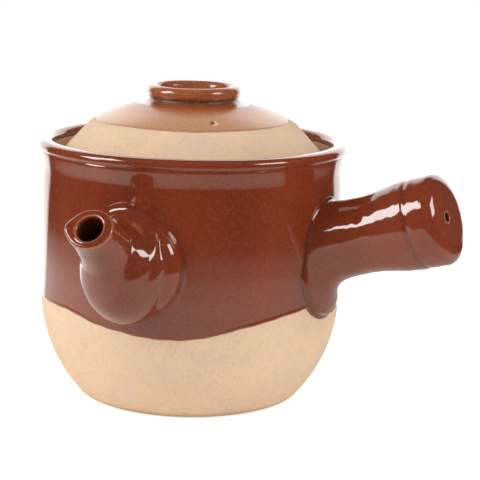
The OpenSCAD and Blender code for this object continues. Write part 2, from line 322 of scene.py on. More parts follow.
def keep_shape(line, tolerance=0.008 * MM, longest=5 * MM):
    """Indices of the points that a line needs to keep its shape."""
    kept, here = [0], 0
    while here < len(line) - 1:
        there = here + 1
        while there + 1 < len(line):
            chord = line[there + 1] - line[here]
            span = np.linalg.norm(chord)
            away = line[here + 1 : there + 1] - line[here]
            off = np.abs(away[:, 0] * chord[1] - away[:, 1] * chord[0]).max() / span
            if off > tolerance or span > longest:
                break
            there += 1
        kept.append(there)
        here = there
    return np.array(kept)


def outward(line):
    """Unit normals of a section line that runs from the base outwards and up."""
    along = np.gradient(line, axis=0)
    along /= np.linalg.norm(along, axis=1, keepdims=True)
    return np.stack([along[:, 1], -along[:, 0]], axis=1)


def ease(value, start, end):
    """0 before start, 1 after end, and a smooth step between."""
    share_done = np.clip((np.asarray(value, float) - start) / (end - start), 0, 1)
    return share_done * share_done * (3 - 2 * share_done)


def hump(value, centre, width):
    """A smooth hump of height 1."""
    return np.exp(-0.5 * ((np.asarray(value, float) - centre) / width) ** 2)


def turns(steps):
    """Angles of even steps round a full turn."""
    return np.arange(steps) * (FULL_TURN / steps)


def turn_from(angle, middle=0.0):
    """The angle measured from a middle direction, between half a turn either way."""
    return (angle - middle + math.pi) % FULL_TURN - math.pi


def from_axis(points):
    """Distance of each point from the upright axis, and its bearing."""
    return np.hypot(points[..., 0], points[..., 1]), np.arctan2(points[..., 1], points[..., 0])


def there_and_back(values):
    """The values of a coat's outer face, and the same again for its inner face."""
    return np.concatenate([values, values[::-1]])


def ripple(points, size, seed, waves=9):
    """A smooth uneven height between about -1 and 1 at each point, made of a few sine waves."""
    random = np.random.default_rng(seed)
    directions = random.normal(size=(waves, 3))
    directions /= np.linalg.norm(directions, axis=1, keepdims=True)
    phases = random.uniform(0, FULL_TURN, waves)
    return np.sin(points @ directions.T * (FULL_TURN / size) + phases).sum(-1) / math.sqrt(waves)


# ---------------------------------------------------------------- meshes


def lathe(line, segments):
    """Rings of points that turn a section line round the upright axis."""
    angles = turns(segments)
    x, z = line[:, 0, None], line[:, 1, None]
    return np.stack([x * np.cos(angles), x * np.sin(angles), np.repeat(z, segments, axis=1)], axis=-1)


def ring_piece(name, rings, loop=False, masks=None):
    """A closed mesh from rings of points, whose ends shrink to a point or join up in a loop."""
    count, around = rings.shape[:2]
    corners = rings.reshape(-1, 3)
    ring, step = np.meshgrid(np.arange(count if loop else count - 1), np.arange(around), indexing="ij")
    near, far = ring * around, (ring + 1) % count * around
    ahead = (step + 1) % around
    quads = np.stack([near + step, near + ahead, far + ahead, far + step], axis=-1).reshape(-1, 4)
    mesh = bpy.data.meshes.new(name)
    mesh.from_pydata(corners.tolist(), [], quads.tolist())
    for key, mask in (masks or {}).items():
        values = np.broadcast_to(mask, (count, around)).reshape(-1).astype(np.float32)
        mesh.attributes.new(key, "FLOAT", "POINT").data.foreach_set("value", values)
    work = bmesh.new()
    work.from_mesh(mesh)
    bmesh.ops.remove_doubles(work, verts=work.verts, dist=1e-7)
    bmesh.ops.recalc_face_normals(work, faces=work.faces)
    work.to_mesh(mesh)
    work.free()
    mesh.shade_smooth()
    piece = bpy.data.objects.new(name, mesh)
    bpy.context.scene.collection.objects.link(piece)
    return piece


def cut(piece, cutters):
    """Cuts closed shapes out of a piece and removes them."""
    for cutter in cutters:
        step = piece.modifiers.new("cut", "BOOLEAN")
        step.operation = "DIFFERENCE"
        step.solver = "EXACT"
        step.object = cutter
    graph = bpy.context.evaluated_depsgraph_get()
    mesh = bpy.data.meshes.new_from_object(piece.evaluated_get(graph), depsgraph=graph)
    piece.modifiers.clear()
    piece.data = mesh
    for cutter in cutters:
        bpy.data.objects.remove(cutter)


def drill(name, start, end, start_radius, end_radius, sides=28, unevenness=0.0, seed=0):
    """A closed round cutter between two points, wider at one end if asked, with an uneven edge."""
    start, end = Vector(start), Vector(end)
    axis = (end - start).normalized()
    across = axis.orthogonal().normalized()
    up = axis.cross(across)
    angles = turns(sides)[:, None]
    spread = np.cos(angles) * np.array(across) + np.sin(angles) * np.array(up)
    edge = 1 + unevenness * np.random.default_rng(seed).uniform(-1, 1, sides)
    rings = []
    for end_share, radius in ((0, 0), (0, start_radius), (1, end_radius), (1, 0)):
        rings.append(np.array(start.lerp(end, end_share)) + spread * (radius * edge)[:, None])
    return ring_piece(name, np.array(rings))


def hand_over(piece, body, nodes, material):
    """Gives a finished piece its material and body, and hides the nodes that it stands for."""
    piece.data.materials.clear()
    piece.data.materials.append(material)
    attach(piece, body)
    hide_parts(*nodes)


# ---------------------------------------------------------------- the pot's shape


def pot_line(pot):
    """Section of the clay pot, from the centre of its base round the outside and over the rim."""
    wall, belly = pot.wall_radius, pot.belly_height
    foot = pot.foot_rounding
    foot_x = math.sqrt((wall - foot) ** 2 - (belly - foot) ** 2)
    foot_angle = math.degrees(math.atan2(foot - belly, foot_x))
    lip_bottom = RIM_HEIGHT - pot.lip_height
    neck_z = lip_bottom - pot.neck_height
    neck_x = wall - pot.neck_depth
    rim_inner = LIP_OUTER - pot.lip_width
    ledge_z = RIM_HEIGHT - pot.ledge_drop
    ledge_x = rim_inner - pot.ledge_width
    under_z = ledge_z - pot.ledge_thickness
    inner = wall - pot.wall_thickness
    floor = pot.floor_thickness
    floor_x = math.sqrt(inner**2 - (belly - floor) ** 2)
    floor_angle = math.degrees(math.atan2(floor - belly, floor_x))
    drawn, flared = np.linspace(0, 1, 12), np.linspace(0.1, 1, 9)
    below_neck = [wall - pot.neck_depth * drawn**2, neck_z - pot.neck_run * (1 - drawn)]
    neck = [neck_x + pot.neck_flare * flared**1.2, neck_z + pot.neck_height * flared]
    return join_lines(
        [(0, 0)],
        arc((foot_x, foot), foot, -90, foot_angle, 12),
        arc((0, belly), wall, foot_angle, 0, 60),
        np.transpose(below_neck),
        np.transpose(neck),
        lip_line(rim_inner, lip_bottom),
        [(rim_inner, ledge_z), (ledge_x, ledge_z), (ledge_x, under_z)],
        [(inner, under_z - (inner - ledge_x))],
        arc((0, belly), inner, 0, floor_angle, 60),
        [(0, floor)],
    )


def lip_line(inner, bottom):
    """Section of the rolled lip: its underside, a face that leans in a little, and its rounded top."""
    under = np.array([(-1.6, 0.5), (-1.5, 1.0), (-0.3, 1.7), (0, 2.8)]) * MM
    face = np.array([(-0.25, -1.9), (-1.2, -0.55), (-2.9, 0)]) * MM
    inside = np.array([(2.4, -0.05), (0.8, -0.8), (0, -2.6)]) * MM
    return join_lines(
        under + [LIP_OUTER, bottom],
        face + [LIP_OUTER, RIM_HEIGHT],
        inside + [inner, RIM_HEIGHT],
    )


def thrown_unevenness(points):
    """How far the thrown wall stands out at each point: a slightly uneven turn and the marks of fingers."""
    radius, bearing = from_axis(points)
    uneven = 0.16 * np.sin(2 * bearing + 0.7) + 0.10 * np.sin(3 * bearing - 1.2)
    fingers = 0.008 * np.sin(points[..., 2] * (FULL_TURN / (13 * MM)) + bearing)
    dents = 0.05 * ripple(points, 60 * MM, 3)
    return (uneven + fingers + dents) * MM * ease(radius, 50 * MM, 80 * MM)


def make_uneven(points):
    """The points, moved out from the pot's axis by its unevenness."""
    radius = np.maximum(from_axis(points)[0], 1e-6)
    factor = 1 + thrown_unevenness(points) / radius
    return points * np.stack([factor, factor, np.ones_like(factor)], axis=-1)


def wall_distance(points, pot, glaze):
    """Signed distance of each point from the glazed wall: a cylinder on a round bottom."""
    below = np.minimum(points[..., 2] - pot.belly_height, 0)
    reach = np.sqrt(points[..., 0] ** 2 + points[..., 1] ** 2 + below**2)
    return reach - pot.wall_radius - glaze.thickness - thrown_unevenness(points)


# Heights of the glaze line in millimetres at some bearings in degrees, from the handle round
GLAZE_LINE = (
    (-133, 59.5), (-113, 59), (-97, 55.8), (-77, 51.4), (-66, 50.6), (-52, 54), (-40, 57.3),
    (-24, 61.2), (-8, 65), (10, 68), (40, 74), (75, 80), (107, 83), (140, 79), (175, 71), (205, 63.5),
)  # fmt: skip


def glaze_line_height(bearings, waver):
    """Height of the glaze line at each bearing: a smooth line through its points, a little wavy."""
    known = np.radians([point[0] for point in GLAZE_LINE])
    heights = np.array([point[1] for point in GLAZE_LINE]) * MM
    known = np.concatenate([known - FULL_TURN, known, known + FULL_TURN])
    heights = np.tile(heights, 3)
    slopes = np.gradient(heights, known)
    wrapped = turn_from(bearings)
    place = np.clip(np.searchsorted(known, wrapped) - 1, 0, len(known) - 2)
    step = known[place + 1] - known[place]
    t = (wrapped - known[place]) / step
    smooth = (
        (2 * t**3 - 3 * t**2 + 1) * heights[place]
        + (t**3 - 2 * t**2 + t) * step * slopes[place]
        + (3 * t**2 - 2 * t**3) * heights[place + 1]
        + (t**3 - t**2) * step * slopes[place + 1]
    )
    wave = np.sin(9 * bearings + 0.4) + 0.6 * np.sin(17 * bearings + 2.1) + 0.35 * np.sin(41 * bearings)
    return smooth + waver * wave


def build_pot_clay(context):
    """The thrown pot of bare clay, with its ledge and strainer holes."""
    pot, spout = settings(context, "pot"), settings(context, "spout")
    line = soften_closed(pot_line(pot), 0.5 * MM)
    rings = make_uneven(lathe(line[keep_shape(line)], pot.segments))
    piece = ring_piece("pot_clay", rings)
    cut(piece, strainer_drills(pot, spout))
    hand_over(piece, "pot", ["pot_body"], clay_material(context))


def strainer_drills(pot, spout):
    """Cutters for the strainer holes through the wall behind the spout."""
    out, side = spout_directions(spout)
    height = spout.mouth_height - spout.reach * math.tan(spout.rise)
    middle = out * pot.wall_radius + UP * height
    places = [middle]
    for angle in turns(pot.strainer_count):
        places.append(middle + (side * math.sin(angle) - UP * math.cos(angle)) * pot.strainer_ring)
    through = out * 2 * pot.wall_thickness
    size = pot.strainer_radius
    return [drill("strainer_drill", place - through, place + through, size, size) for place in places]


# Height above which the rows of the glaze coat run level
LEVEL_ROWS_FROM = 108 * MM


def rounded_end(distance, size):
    """0 at the end of a coat, rising like a quarter circle to 1 at the given distance from it."""
    return np.sqrt(np.clip(1 - (1 - np.clip(distance / size, 0, 1)) ** 2, 0, 1))


def build_pot_glaze(context):
    """The glaze coat on the pot, with its wavy lower edge, over the rim and a little way inside it."""
    pot, glaze, spout = (settings(context, name) for name in ("pot", "glaze", "spout"))
    line = soften(pot_line(pot), 0.5 * MM)
    normals = outward(line)
    steps = lengths_along(line)
    crest = int(np.argmax(line[:, 1]))
    inside = (np.arange(len(line)) > crest) & (line[:, 1] < RIM_HEIGHT - glaze.rim_run)
    stop = steps[np.argmax(inside)]
    outer = np.arange(crest + 1)
    start_straight = np.interp(LEVEL_ROWS_FROM, line[outer, 1], steps[outer])
    bearings = turns(pot.segments)
    line_heights = glaze_line_height(bearings, glaze.line_waver)
    start = np.interp(line_heights, line[outer, 1], steps[outer])
    # Distances from the glaze line: close together along the edge, then even, then as the rim's shape needs
    edge = np.array([0, 0.04, 0.15, 0.35, 0.65, 1.0, 1.5, 2.1, 3.0, 4.5]) * MM
    climb = np.linspace(0, 1, 26)[1:]
    rim = steps[keep_shape(line)]
    rim = rim[(rim > start_straight + 1 * MM) & (rim < stop - 2 * MM)]
    ending = stop - np.array([1.8, 1.2, 0.8, 0.5, 0.25, 0.08, 0]) * MM
    rows = [start + distance for distance in edge]
    rows += [start + edge[-1] + (start_straight - start - edge[-1]) * part for part in climb]
    rows += [np.full(pot.segments, place) for place in np.r_[rim, ending]]
    places = np.array(rows)
    from_edge = places - start
    from_stop = stop - places
    swell = glaze.edge_swell * hump(from_edge, 0.9 * MM, glaze.edge_width / 3)
    skin = (glaze.thickness + swell) * rounded_end(from_edge, 0.5 * MM) * rounded_end(from_stop, 1.2 * MM)

    def offset(distance):
        spread = [np.interp(places, steps, column) for column in (*line.T, *normals.T)]
        x = spread[0] + spread[2] * distance
        z = spread[1] + spread[3] * distance
        return make_uneven(np.stack([x * np.cos(bearings), x * np.sin(bearings), z], axis=-1))

    sunk = 0.25 * MM
    outer_rings = offset(skin - 0.02 * MM * (from_edge < 1e-9))
    inner_rings = offset(np.full_like(places, -sunk))[::-1]
    past_crest = places - steps[crest]
    # The band just inside the rim's crest is partly thin glaze and partly a painted reflection of the lid's
    # pale clay
    thin_rim_and_reflection = 0.55 * hump(past_crest, 4.2 * MM, 1.2 * MM) + 0.2 * hump(past_crest, -3.4 * MM, 1 * MM)
    thin_edge = 0.45 * hump(from_edge, 0, 0.7 * MM)
    masks = {"thin": there_and_back(np.clip(thin_rim_and_reflection + thin_edge, 0, 1))}
    piece = ring_piece("pot_glaze_coat", np.concatenate([outer_rings, inner_rings]), loop=True, masks=masks)
    cut(piece, strainer_drills(pot, spout))
    hand_over(piece, "pot", ["pot_glaze"], glaze_material(context))


# ---------------------------------------------------------------- limbs that run into the wall


class Limb:
    """A thrown tube on a straight axis that runs into the pot's wall: the spout or the handle.

    Places along it are measured from its tip inwards, and turns round it from its across direction.
    """

    def __init__(self, tip, inward, across, radius):
        self.tip = np.array(tip, float)
        self.inward = np.array(inward, float)
        self.across = np.array(across, float)
        self.up = np.cross(self.across, self.inward)
        self.radius = radius

    def place(self, radius, along, angle):
        """Points at a radius, a distance along the axis and an angle round it."""
        radius, along, angle = np.broadcast_arrays(radius, along, angle)
        spread = np.cos(angle)[..., None] * self.across + np.sin(angle)[..., None] * self.up
        return self.tip + along[..., None] * self.inward + radius[..., None] * spread

    def unwrap(self, points):
        """Distance along the limb, the way out from its axis and the angle round it, of each point."""
        along = (points - self.tip) @ self.inward
        spread = points - self.tip - along[..., None] * self.inward
        return along, spread, np.arctan2(spread @ self.up, spread @ self.across)

    def distance(self, points):
        """Signed distance of each point from the limb's surface, nearly."""
        away = points - self.tip
        along = away @ self.inward
        a, b = away @ self.across, away @ self.up
        angle = np.arctan2(b, a)
        small = 0.2 * MM
        slope = (self.radius(along + small, angle) - self.radius(along - small, angle)) / (2 * small)
        return (np.hypot(a, b) - self.radius(along, angle)) / np.sqrt(1 + slope**2)


def smooth_least(a, b, size):
    """The lesser of two distances, blended where they are close."""
    near = np.maximum(size - np.abs(a - b), 0) / size
    return np.minimum(a, b) - near * near * size / 4


def gradient(field, points, small=0.05 * MM):
    """Slope of a distance field at each point."""
    parts = []
    for axis in np.eye(3) * small:
        parts.append((field(points + axis) - field(points - axis)) / (2 * small))
    return np.stack(parts, axis=-1)


def pull_onto(field, points, level, rounds=12):
    """The points, moved along the field's slope until they lie on the surface at that level."""
    for _ in range(rounds):
        slope = gradient(field, points)
        square = np.maximum((slope**2).sum(-1), 0.2)
        points = points - ((field(points) - level) / square)[..., None] * slope
    return points


def meet_wall(limb, wall, radius, low, high, angles, depth=0.0):
    """Distance along the limb, at each angle, where its surface passes a depth under the wall's face."""
    near, far = np.full(len(angles), low), np.full(len(angles), high)
    for _ in range(40):
        middle = (near + far) / 2
        outside = wall(limb.place(radius(middle, angles), middle, angles)) > -depth
        near, far = np.where(outside, middle, near), np.where(outside, far, middle)
    return (near + far) / 2


# Place of the joint with the wall among the rings of a limb's body
JOINT_RING = 35


def limb_rings(limb, pot, glaze, tip_line, fixed, deepest, fillet, hollow, inner_line, angles):
    """Rings of a hollow limb, from its tip to a skirt on the wall and back inside, with two masks.

    The first mask is 1 outside, and the second is 1 at the joint with the wall.
    """

    def wall(points):
        return wall_distance(points, pot, glaze)

    def field(points):
        return smooth_least(wall(points), limb.distance(points), fillet)

    def hollow_radius(along, angle):
        return np.full(np.shape(angle), hollow)

    rings = [limb.place(radius, along, angles) for radius, along in tip_line]
    joint = meet_wall(limb, wall, limb.radius, fixed, deepest, angles)
    body = []
    for part in np.linspace(0, 1, 34):
        along = fixed + (joint - fixed) * part
        body.append(limb.place(limb.radius(along, angles), along, angles))
    root = body[-1]
    wall_slope = gradient(wall, root)
    wall_slope /= np.linalg.norm(wall_slope, axis=-1, keepdims=True)
    away = gradient(limb.distance, root)
    away -= (away * wall_slope).sum(-1, keepdims=True) * wall_slope
    away /= np.linalg.norm(away, axis=-1, keepdims=True)
    skirt = fillet * np.array([0.12, 0.26, 0.42, 0.6, 0.8, 1.0, 1.12, 1.2])
    levels = np.r_[np.zeros(len(body) + len(skirt) - 2), -0.03 * MM, -0.12 * MM]
    body += [root + away * width for width in skirt]
    body = [pull_onto(field, ring, level) for ring, level in zip(body, levels)]
    depth = 1.5 * MM
    sunk = body[-1] - wall_slope * depth
    inner_end = meet_wall(limb, wall, hollow_radius, fixed, deepest, angles, depth)
    inside = [limb.place(hollow, inner_end, angles)]
    inside += [limb.place(radius, along, angles) for radius, along in inner_line]
    every = np.array(rings + body + [sunk] + inside)
    number = np.arange(len(every))[:, None]
    outside = (number < len(rings) + len(body)).astype(float)
    return every, outside, hump(number, len(rings) + JOINT_RING, 2.5)


def egg_radius(limb, centre, axes, along, angle):
    """How far out from the limb's axis an egg shape reaches, at a place along it and an angle round it."""
    origin = (limb.place(0.0, along, angle) - centre) @ axes.T
    ahead = (limb.place(1.0, along, angle) - limb.place(0.0, along, angle)) @ axes.T
    a = (ahead**2).sum(-1)
    b = (origin * ahead).sum(-1)
    c = (origin**2).sum(-1) - 1
    inside = b * b - a * c
    return np.where(inside > 0, (-b + np.sqrt(np.maximum(inside, 0))) / a, 0.0)


def spout_directions(spout):
    """The level directions out along the spout and across it, towards the handle."""
    out = np.array([math.cos(spout.bearing), math.sin(spout.bearing), 0])
    return out, np.array([-out[1], out[0], 0])


def spout_limb(pot, spout):
    """The spout as a limb: a neck that widens a little, and a bulb with throwing ridges and a collar."""
    wall = pot.wall_radius
    out, across = spout_directions(spout)
    inward = -math.cos(spout.rise) * out - math.sin(spout.rise) * UP
    tip = out * (wall + spout.reach) + across * spout.mouth_aside + UP * spout.mouth_height
    centre = out * (wall + spout.bulb_out) + across * spout.bulb_aside + UP * spout.bulb_middle
    axes = np.array([out / spout.bulb_depth, across / spout.bulb_width, UP / spout.bulb_height])
    collar_centre = out * wall + across * spout.collar_aside + UP * spout.bulb_middle
    collar_axes = np.array([out / spout.collar_depth, across / spout.collar_width, UP / spout.collar_height])
    neck = spout.neck_radius
    line = np.array([
        (-5, 0.2), (3, 0), (10, 0.3), (18, 1.3), (24, 2.7), (30, 4.5), (40, 5), (120, 5),
    ]) * MM  # fmt: skip
    line = soften(line, 2.0 * MM)
    limb = Limb(tip, inward, across, None)

    def radius(along, angle):
        """Outer radius: the neck or the bulb, whichever is wider, with a soft valley between."""
        plain = neck + np.interp(along, line[:, 0], line[:, 1])
        upper_right = 0.5 + 0.5 * np.cos(angle - math.radians(40))
        valley = (4.2 - 3.0 * upper_right) * MM
        ridges = 0.5 * MM * np.cos((along - 31.5 * MM) * (FULL_TURN / (8.4 * MM)))
        ridges = ridges * hump(along, 36 * MM, 6.5 * MM) * upper_right**3
        bulb = egg_radius(limb, centre, axes, along, angle) + ridges
        collar = egg_radius(limb, collar_centre, collar_axes, along, angle)
        bulb = -smooth_least(-bulb, -collar, 1.6 * MM)
        return -smooth_least(-plain, -bulb, valley)

    limb.radius = radius
    return limb


def build_spout(context):
    """The glazed spout: a pinched mouth, a short neck and a bulb that is smoothed onto the wall."""
    pot, glaze, spout = (settings(context, name) for name in ("pot", "glaze", "spout"))
    limb = spout_limb(pot, spout)
    angles = turns(spout.segments)
    mouth, bore, chamber = spout.mouth_radius, spout.bore_radius, spout.chamber_radius
    lip = soften(
        join_lines(
            [(bore, 9 * MM), (bore, 1.4 * MM), (bore + 0.35 * MM, 0.45 * MM), (bore + 1.1 * MM, 0)],
            [(bore + 2.6 * MM, 0.22 * MM), (mouth - 1.1 * MM, 0.1 * MM), (mouth - 0.15 * MM, 0.8 * MM)],
            [(mouth + 0.05 * MM, 2 * MM), (mouth, 5 * MM), (spout.neck_radius + 0.2 * MM, 9 * MM)],
        ),
        0.35 * MM,
    )
    tip_line = [tuple(point) for point in lip[keep_shape(lip, 0.01 * MM, 1.5 * MM)]]
    tip_line += [(limb.radius(along, angles), along) for along in np.arange(10, 27, 0.55) * MM]
    inner_line = [(chamber, 46 * MM), (bore + 5 * MM, 33 * MM), (bore, 20 * MM), (bore, 14 * MM)]
    rings, outside, joint = limb_rings(
        limb, pot, glaze, tip_line, 27 * MM, 95 * MM, spout.fillet, chamber, inner_line, angles
    )
    along, spread, turned = limb.unwrap(rings)
    reach = np.linalg.norm(spread, axis=-1)
    sector = hump(turned, math.radians(64), 0.55)
    valley = hump(reach, 20.0 * MM, 3.4 * MM) * sector * spout.valley_depth * outside
    rings = pinch_mouth(rings, limb, angles, bore) + valley[..., None] * limb.inward
    at_mouth = ease(along, 3.5 * MM, 0.8 * MM)
    edges = hump(reach, bore + 0.9 * MM, 0.4 * MM) + hump(reach, mouth - 0.1 * MM, 0.45 * MM)
    ridge = hump(reach, 20.6 * MM, 1.3 * MM) * hump(turned, math.radians(58), 0.35)
    thin = (0.55 * at_mouth * edges + 0.4 * ridge) * outside
    # Pooled glaze along the joint, and painted shade inside the bore and the hollow bulb
    in_bore = ease(along, 1.5 * MM, 3 * MM) * ease(reach, bore + 1.0 * MM, bore + 0.3 * MM)
    pooling_and_shade = np.maximum(np.maximum(1 - outside, in_bore), 0.6 * joint * ease(turned, -2.0, -1.0))
    masks = {"thin": np.clip(thin, 0, 1), "pooling_and_shade": np.clip(pooling_and_shade, 0, 1)}
    piece = ring_piece("spout_form", rings, loop=True, masks=masks)
    hand_over(piece, "pot", ["spout", "spout_glaze"], glaze_material(context))


def pinch_mouth(rings, limb, angles, bore):
    """Draws the round mouth into an oval with a small pouring beak on one side. The bore stays round."""
    along, spread, _ = limb.unwrap(rings)
    near = 1 - ease(along, 0, 17 * MM)
    near = near * ease(np.linalg.norm(spread, axis=-1), bore + 0.4 * MM, bore + 3 * MM)
    turned = turn_from(angles, math.radians(184))
    oval = 1 + 0.055 * np.cos(2 * angles)
    beak = 1 + 0.13 * hump(turned, 0, 0.26)
    push = near * (oval * beak - 1)
    forward = near * hump(turned, 0, 0.30) * 0.7 * MM
    return rings + spread * push[..., None] - forward[..., None] * limb.inward


def handle_limb(pot, handle):
    """The handle as a limb, with its section as a function of the distance from its end."""
    outward_axis = np.array([math.cos(handle.rise), 0, math.sin(handle.rise)])
    start = pot.wall_radius / math.cos(handle.rise)
    end = start + handle.reach
    foot = handle.foot_height - pot.wall_radius * math.tan(handle.rise)
    tip = np.array([0, 0, foot]) + end * outward_axis

    def radius(along, angle):
        """Radius with a flared root, a swell towards the end and a groove before it."""
        place = end - along
        front = np.cos(angle) ** 2
        fading = np.exp(-np.maximum(place - start, -8 * MM) / (5.5 * MM))
        flare = handle.root_flare * fading * (1 - 0.8 * front)
        lean = handle.root_lean * front * (1 - np.clip((place - start) / (42 * MM), 0, 1))
        rise = np.clip((place - start - 21 * MM) / (40 * MM), 0, 1)
        swell = handle.grip_swell * (1 - np.cos(math.pi * rise)) / 2
        upright = 0.3 + 0.7 * np.sin(angle) ** 2
        groove_place = handle.groove_place + 0.9 * MM * np.sin(angle + 0.5)
        groove = handle.groove_depth * hump(along, groove_place, 1.0 * MM)
        return handle.grip_radius + 0.4 * MM + flare + swell * upright - groove - lean

    return Limb(tip, -outward_axis, np.array([0.0, 1.0, 0.0]), radius)


def build_handle(context):
    """The glazed hollow handle: a vent in its domed end, a groove, finger marks and a flared root."""
    pot, glaze, handle = (settings(context, name) for name in ("pot", "glaze", "handle"))
    limb = handle_limb(pot, handle)
    angles = turns(handle.segments)
    cap_length, cap_in = handle.cap_length, handle.cap_rounding
    vent = handle.vent_radius - 0.2 * MM
    side = limb.radius(cap_length, angles)
    tip_line = [(vent, 6 * MM), (vent, 3 * MM), (vent, 1 * MM), (vent + 0.1 * MM, 0.4 * MM)]
    tip_line += [(vent + 0.35 * MM, 0.1 * MM), (vent + 0.8 * MM, 0.0), (vent + 1.6 * MM, 0.02 * MM)]
    tip_line += [(vent + (side - cap_in - vent) * part, 0.25 * MM * part**2) for part in (0.4, 0.6, 0.8, 1.0)]
    for quarter in np.radians(np.linspace(84, 4, 15)):
        rounded = side - cap_in * (1 - np.cos(quarter))
        tip_line.append((rounded, 0.25 * MM + (cap_length - 0.25 * MM) * (1 - np.sin(quarter))))
    tip_line += [(limb.radius(along, angles), along) for along in np.arange(7.2, 44, 0.8) * MM]
    hollow = handle.grip_radius - handle.wall
    inner_line = [(hollow, 30 * MM), (hollow, 14 * MM), (hollow * 0.6, 7.5 * MM), (vent * 1.2, 6.4 * MM)]
    rings, outside, joint = limb_rings(
        limb, pot, glaze, tip_line, 45 * MM, 125 * MM, handle.fillet, hollow, inner_line, angles
    )
    along, spread, _ = limb.unwrap(rings)
    reach = np.maximum(np.linalg.norm(spread, axis=-1), 1e-6)
    fade = outside * (1 - ease(along, 52 * MM, 68 * MM)) * ease(reach, 4 * MM, 12 * MM)
    near_vent = ease(reach, 15 * MM, 4 * MM) * ease(along, 12 * MM, 8 * MM)
    vent_shift = handle.vent_above * limb.up - handle.vent_aside * limb.across
    marks = 0.11 * ripple(rings, 26 * MM, 11) + 0.05 * ripple(rings, 9 * MM, 12)
    marks = marks + 0.02 * ripple(rings, 4.5 * MM, 13)
    rings = rings + spread / reach[..., None] * (marks * fade * MM)[..., None]
    rings = rings + near_vent[..., None] * vent_shift
    groove = hump(along, handle.groove_place, 1.2 * MM)
    at_end = ease(along, 1.5 * MM, 0.5 * MM)
    thin = outside * at_end * 0.5 * hump(reach, vent + 0.6 * MM, 0.35 * MM)
    in_vent = ease(along, 0.5 * MM, 1.2 * MM) * ease(reach, vent + 1 * MM, vent)
    # Pooled glaze in the groove and along the joint, and painted shade inside the hollow handle and its vent
    pooling_and_shade = np.maximum(np.maximum(0.5 * groove, 0.85 * joint), np.maximum(1 - outside, in_vent))
    masks = {"thin": np.clip(thin, 0, 1), "pooling_and_shade": np.clip(pooling_and_shade, 0, 1)}
    piece = ring_piece("handle_form", rings, loop=True, masks=masks)
    hand_over(piece, "pot", ["handle", "handle_glaze"], glaze_material(context))


# ---------------------------------------------------------------- the lid


def lid_seat():
    """Height of the ledge that the lid rests on."""
    return RIM_HEIGHT - settings(bpy.context, "pot").ledge_drop


def crown_ball(lid):
    """Centre height and radius of the ball that the lid's crown is part of."""
    seat = lid_seat()
    crown_z, shoulder_z = seat + lid.crown_height, seat + lid.shoulder_height
    foot_x = KNOB_OUTER - lid.waist
    centre = (crown_z**2 + foot_x**2 - shoulder_z**2 - lid.shoulder_radius**2) / (2 * (crown_z - shoulder_z))
    return centre, math.hypot(crown_z - centre, foot_x)


def lid_line(lid):
    """Section of the lid, from the top of its crown out to its edge and back under it."""
    seat = lid_seat()
    centre, ball = crown_ball(lid)
    shoulder_z = seat + lid.shoulder_height
    edge_z = seat + lid.edge_height
    top = math.degrees(math.atan2(shoulder_z - centre, lid.shoulder_radius))
    run, rise = lid.edge_radius - lid.shoulder_radius, shoulder_z - edge_z
    step = lid.thickness * math.hypot(run, rise) / rise
    guide_inner = lid.guide_radius - lid.thickness
    guide_foot = seat - lid.guide_depth
    inner_ball = ball - lid.thickness
    inner_x = lid.shoulder_radius - step
    inner_top = math.degrees(math.acos(inner_x / inner_ball))
    flank_z = edge_z + (lid.edge_radius - step - guide_inner) * rise / run
    return join_lines(
        arc((0, centre), ball, 90, top, 40),
        [(lid.edge_radius, edge_z), (lid.edge_radius, seat), (lid.guide_radius, seat)],
        [(lid.guide_radius, guide_foot), (guide_inner, guide_foot), (guide_inner, flank_z)],
        arc((0, centre), inner_ball, inner_top, 90, 30),
    )


def crown_warp(lid, bearing, reach):
    """Slight unevenness of the crown's outer part, the same for the clay and the wash on it."""
    return lid.warp * np.sin(3 * bearing + 0.5) * ease(reach, 45 * MM, 62 * MM)


def vent_drill(lid, radius, aside, unevenness, seed):
    """Cutter for the steam hole in the lid, or round it in the wash."""
    x = lid.vent_distance * math.cos(lid.vent_bearing) + aside[0]
    y = lid.vent_distance * math.sin(lid.vent_bearing) + aside[1]
    return drill("vent_drill", (x, y, RIM_HEIGHT), (x, y, KNOB_TOP), radius, radius, 20, unevenness, seed)


def vent_reamer(lid):
    """Cutter that widens the steam hole from below."""
    x = lid.vent_distance * math.cos(lid.vent_bearing)
    y = lid.vent_distance * math.sin(lid.vent_bearing)
    low, high = 157.6 * MM, 166.4 * MM
    return drill("vent_reamer", (x, y, low), (x, y, high), 8.4 * MM, 0.3 * MM, 24)


def build_lid_clay(context):
    """The lid of bare clay, with its steam hole."""
    lid, pot = settings(context, "lid"), settings(context, "pot")
    line = soften_closed(lid_line(lid), 0.8 * MM)
    rings = lathe(line[keep_shape(line)], pot.segments)
    reach, bearing = from_axis(rings)
    rings[..., 2] += crown_warp(lid, bearing, reach) * (rings[..., 2] > RIM_HEIGHT)
    piece = ring_piece("lid_clay", rings)
    cut(piece, [vent_drill(lid, lid.vent_radius, (0, 0), 0.12, 5), vent_reamer(lid)])
    hand_over(piece, "lid", ["lid_dome"], clay_material(context))


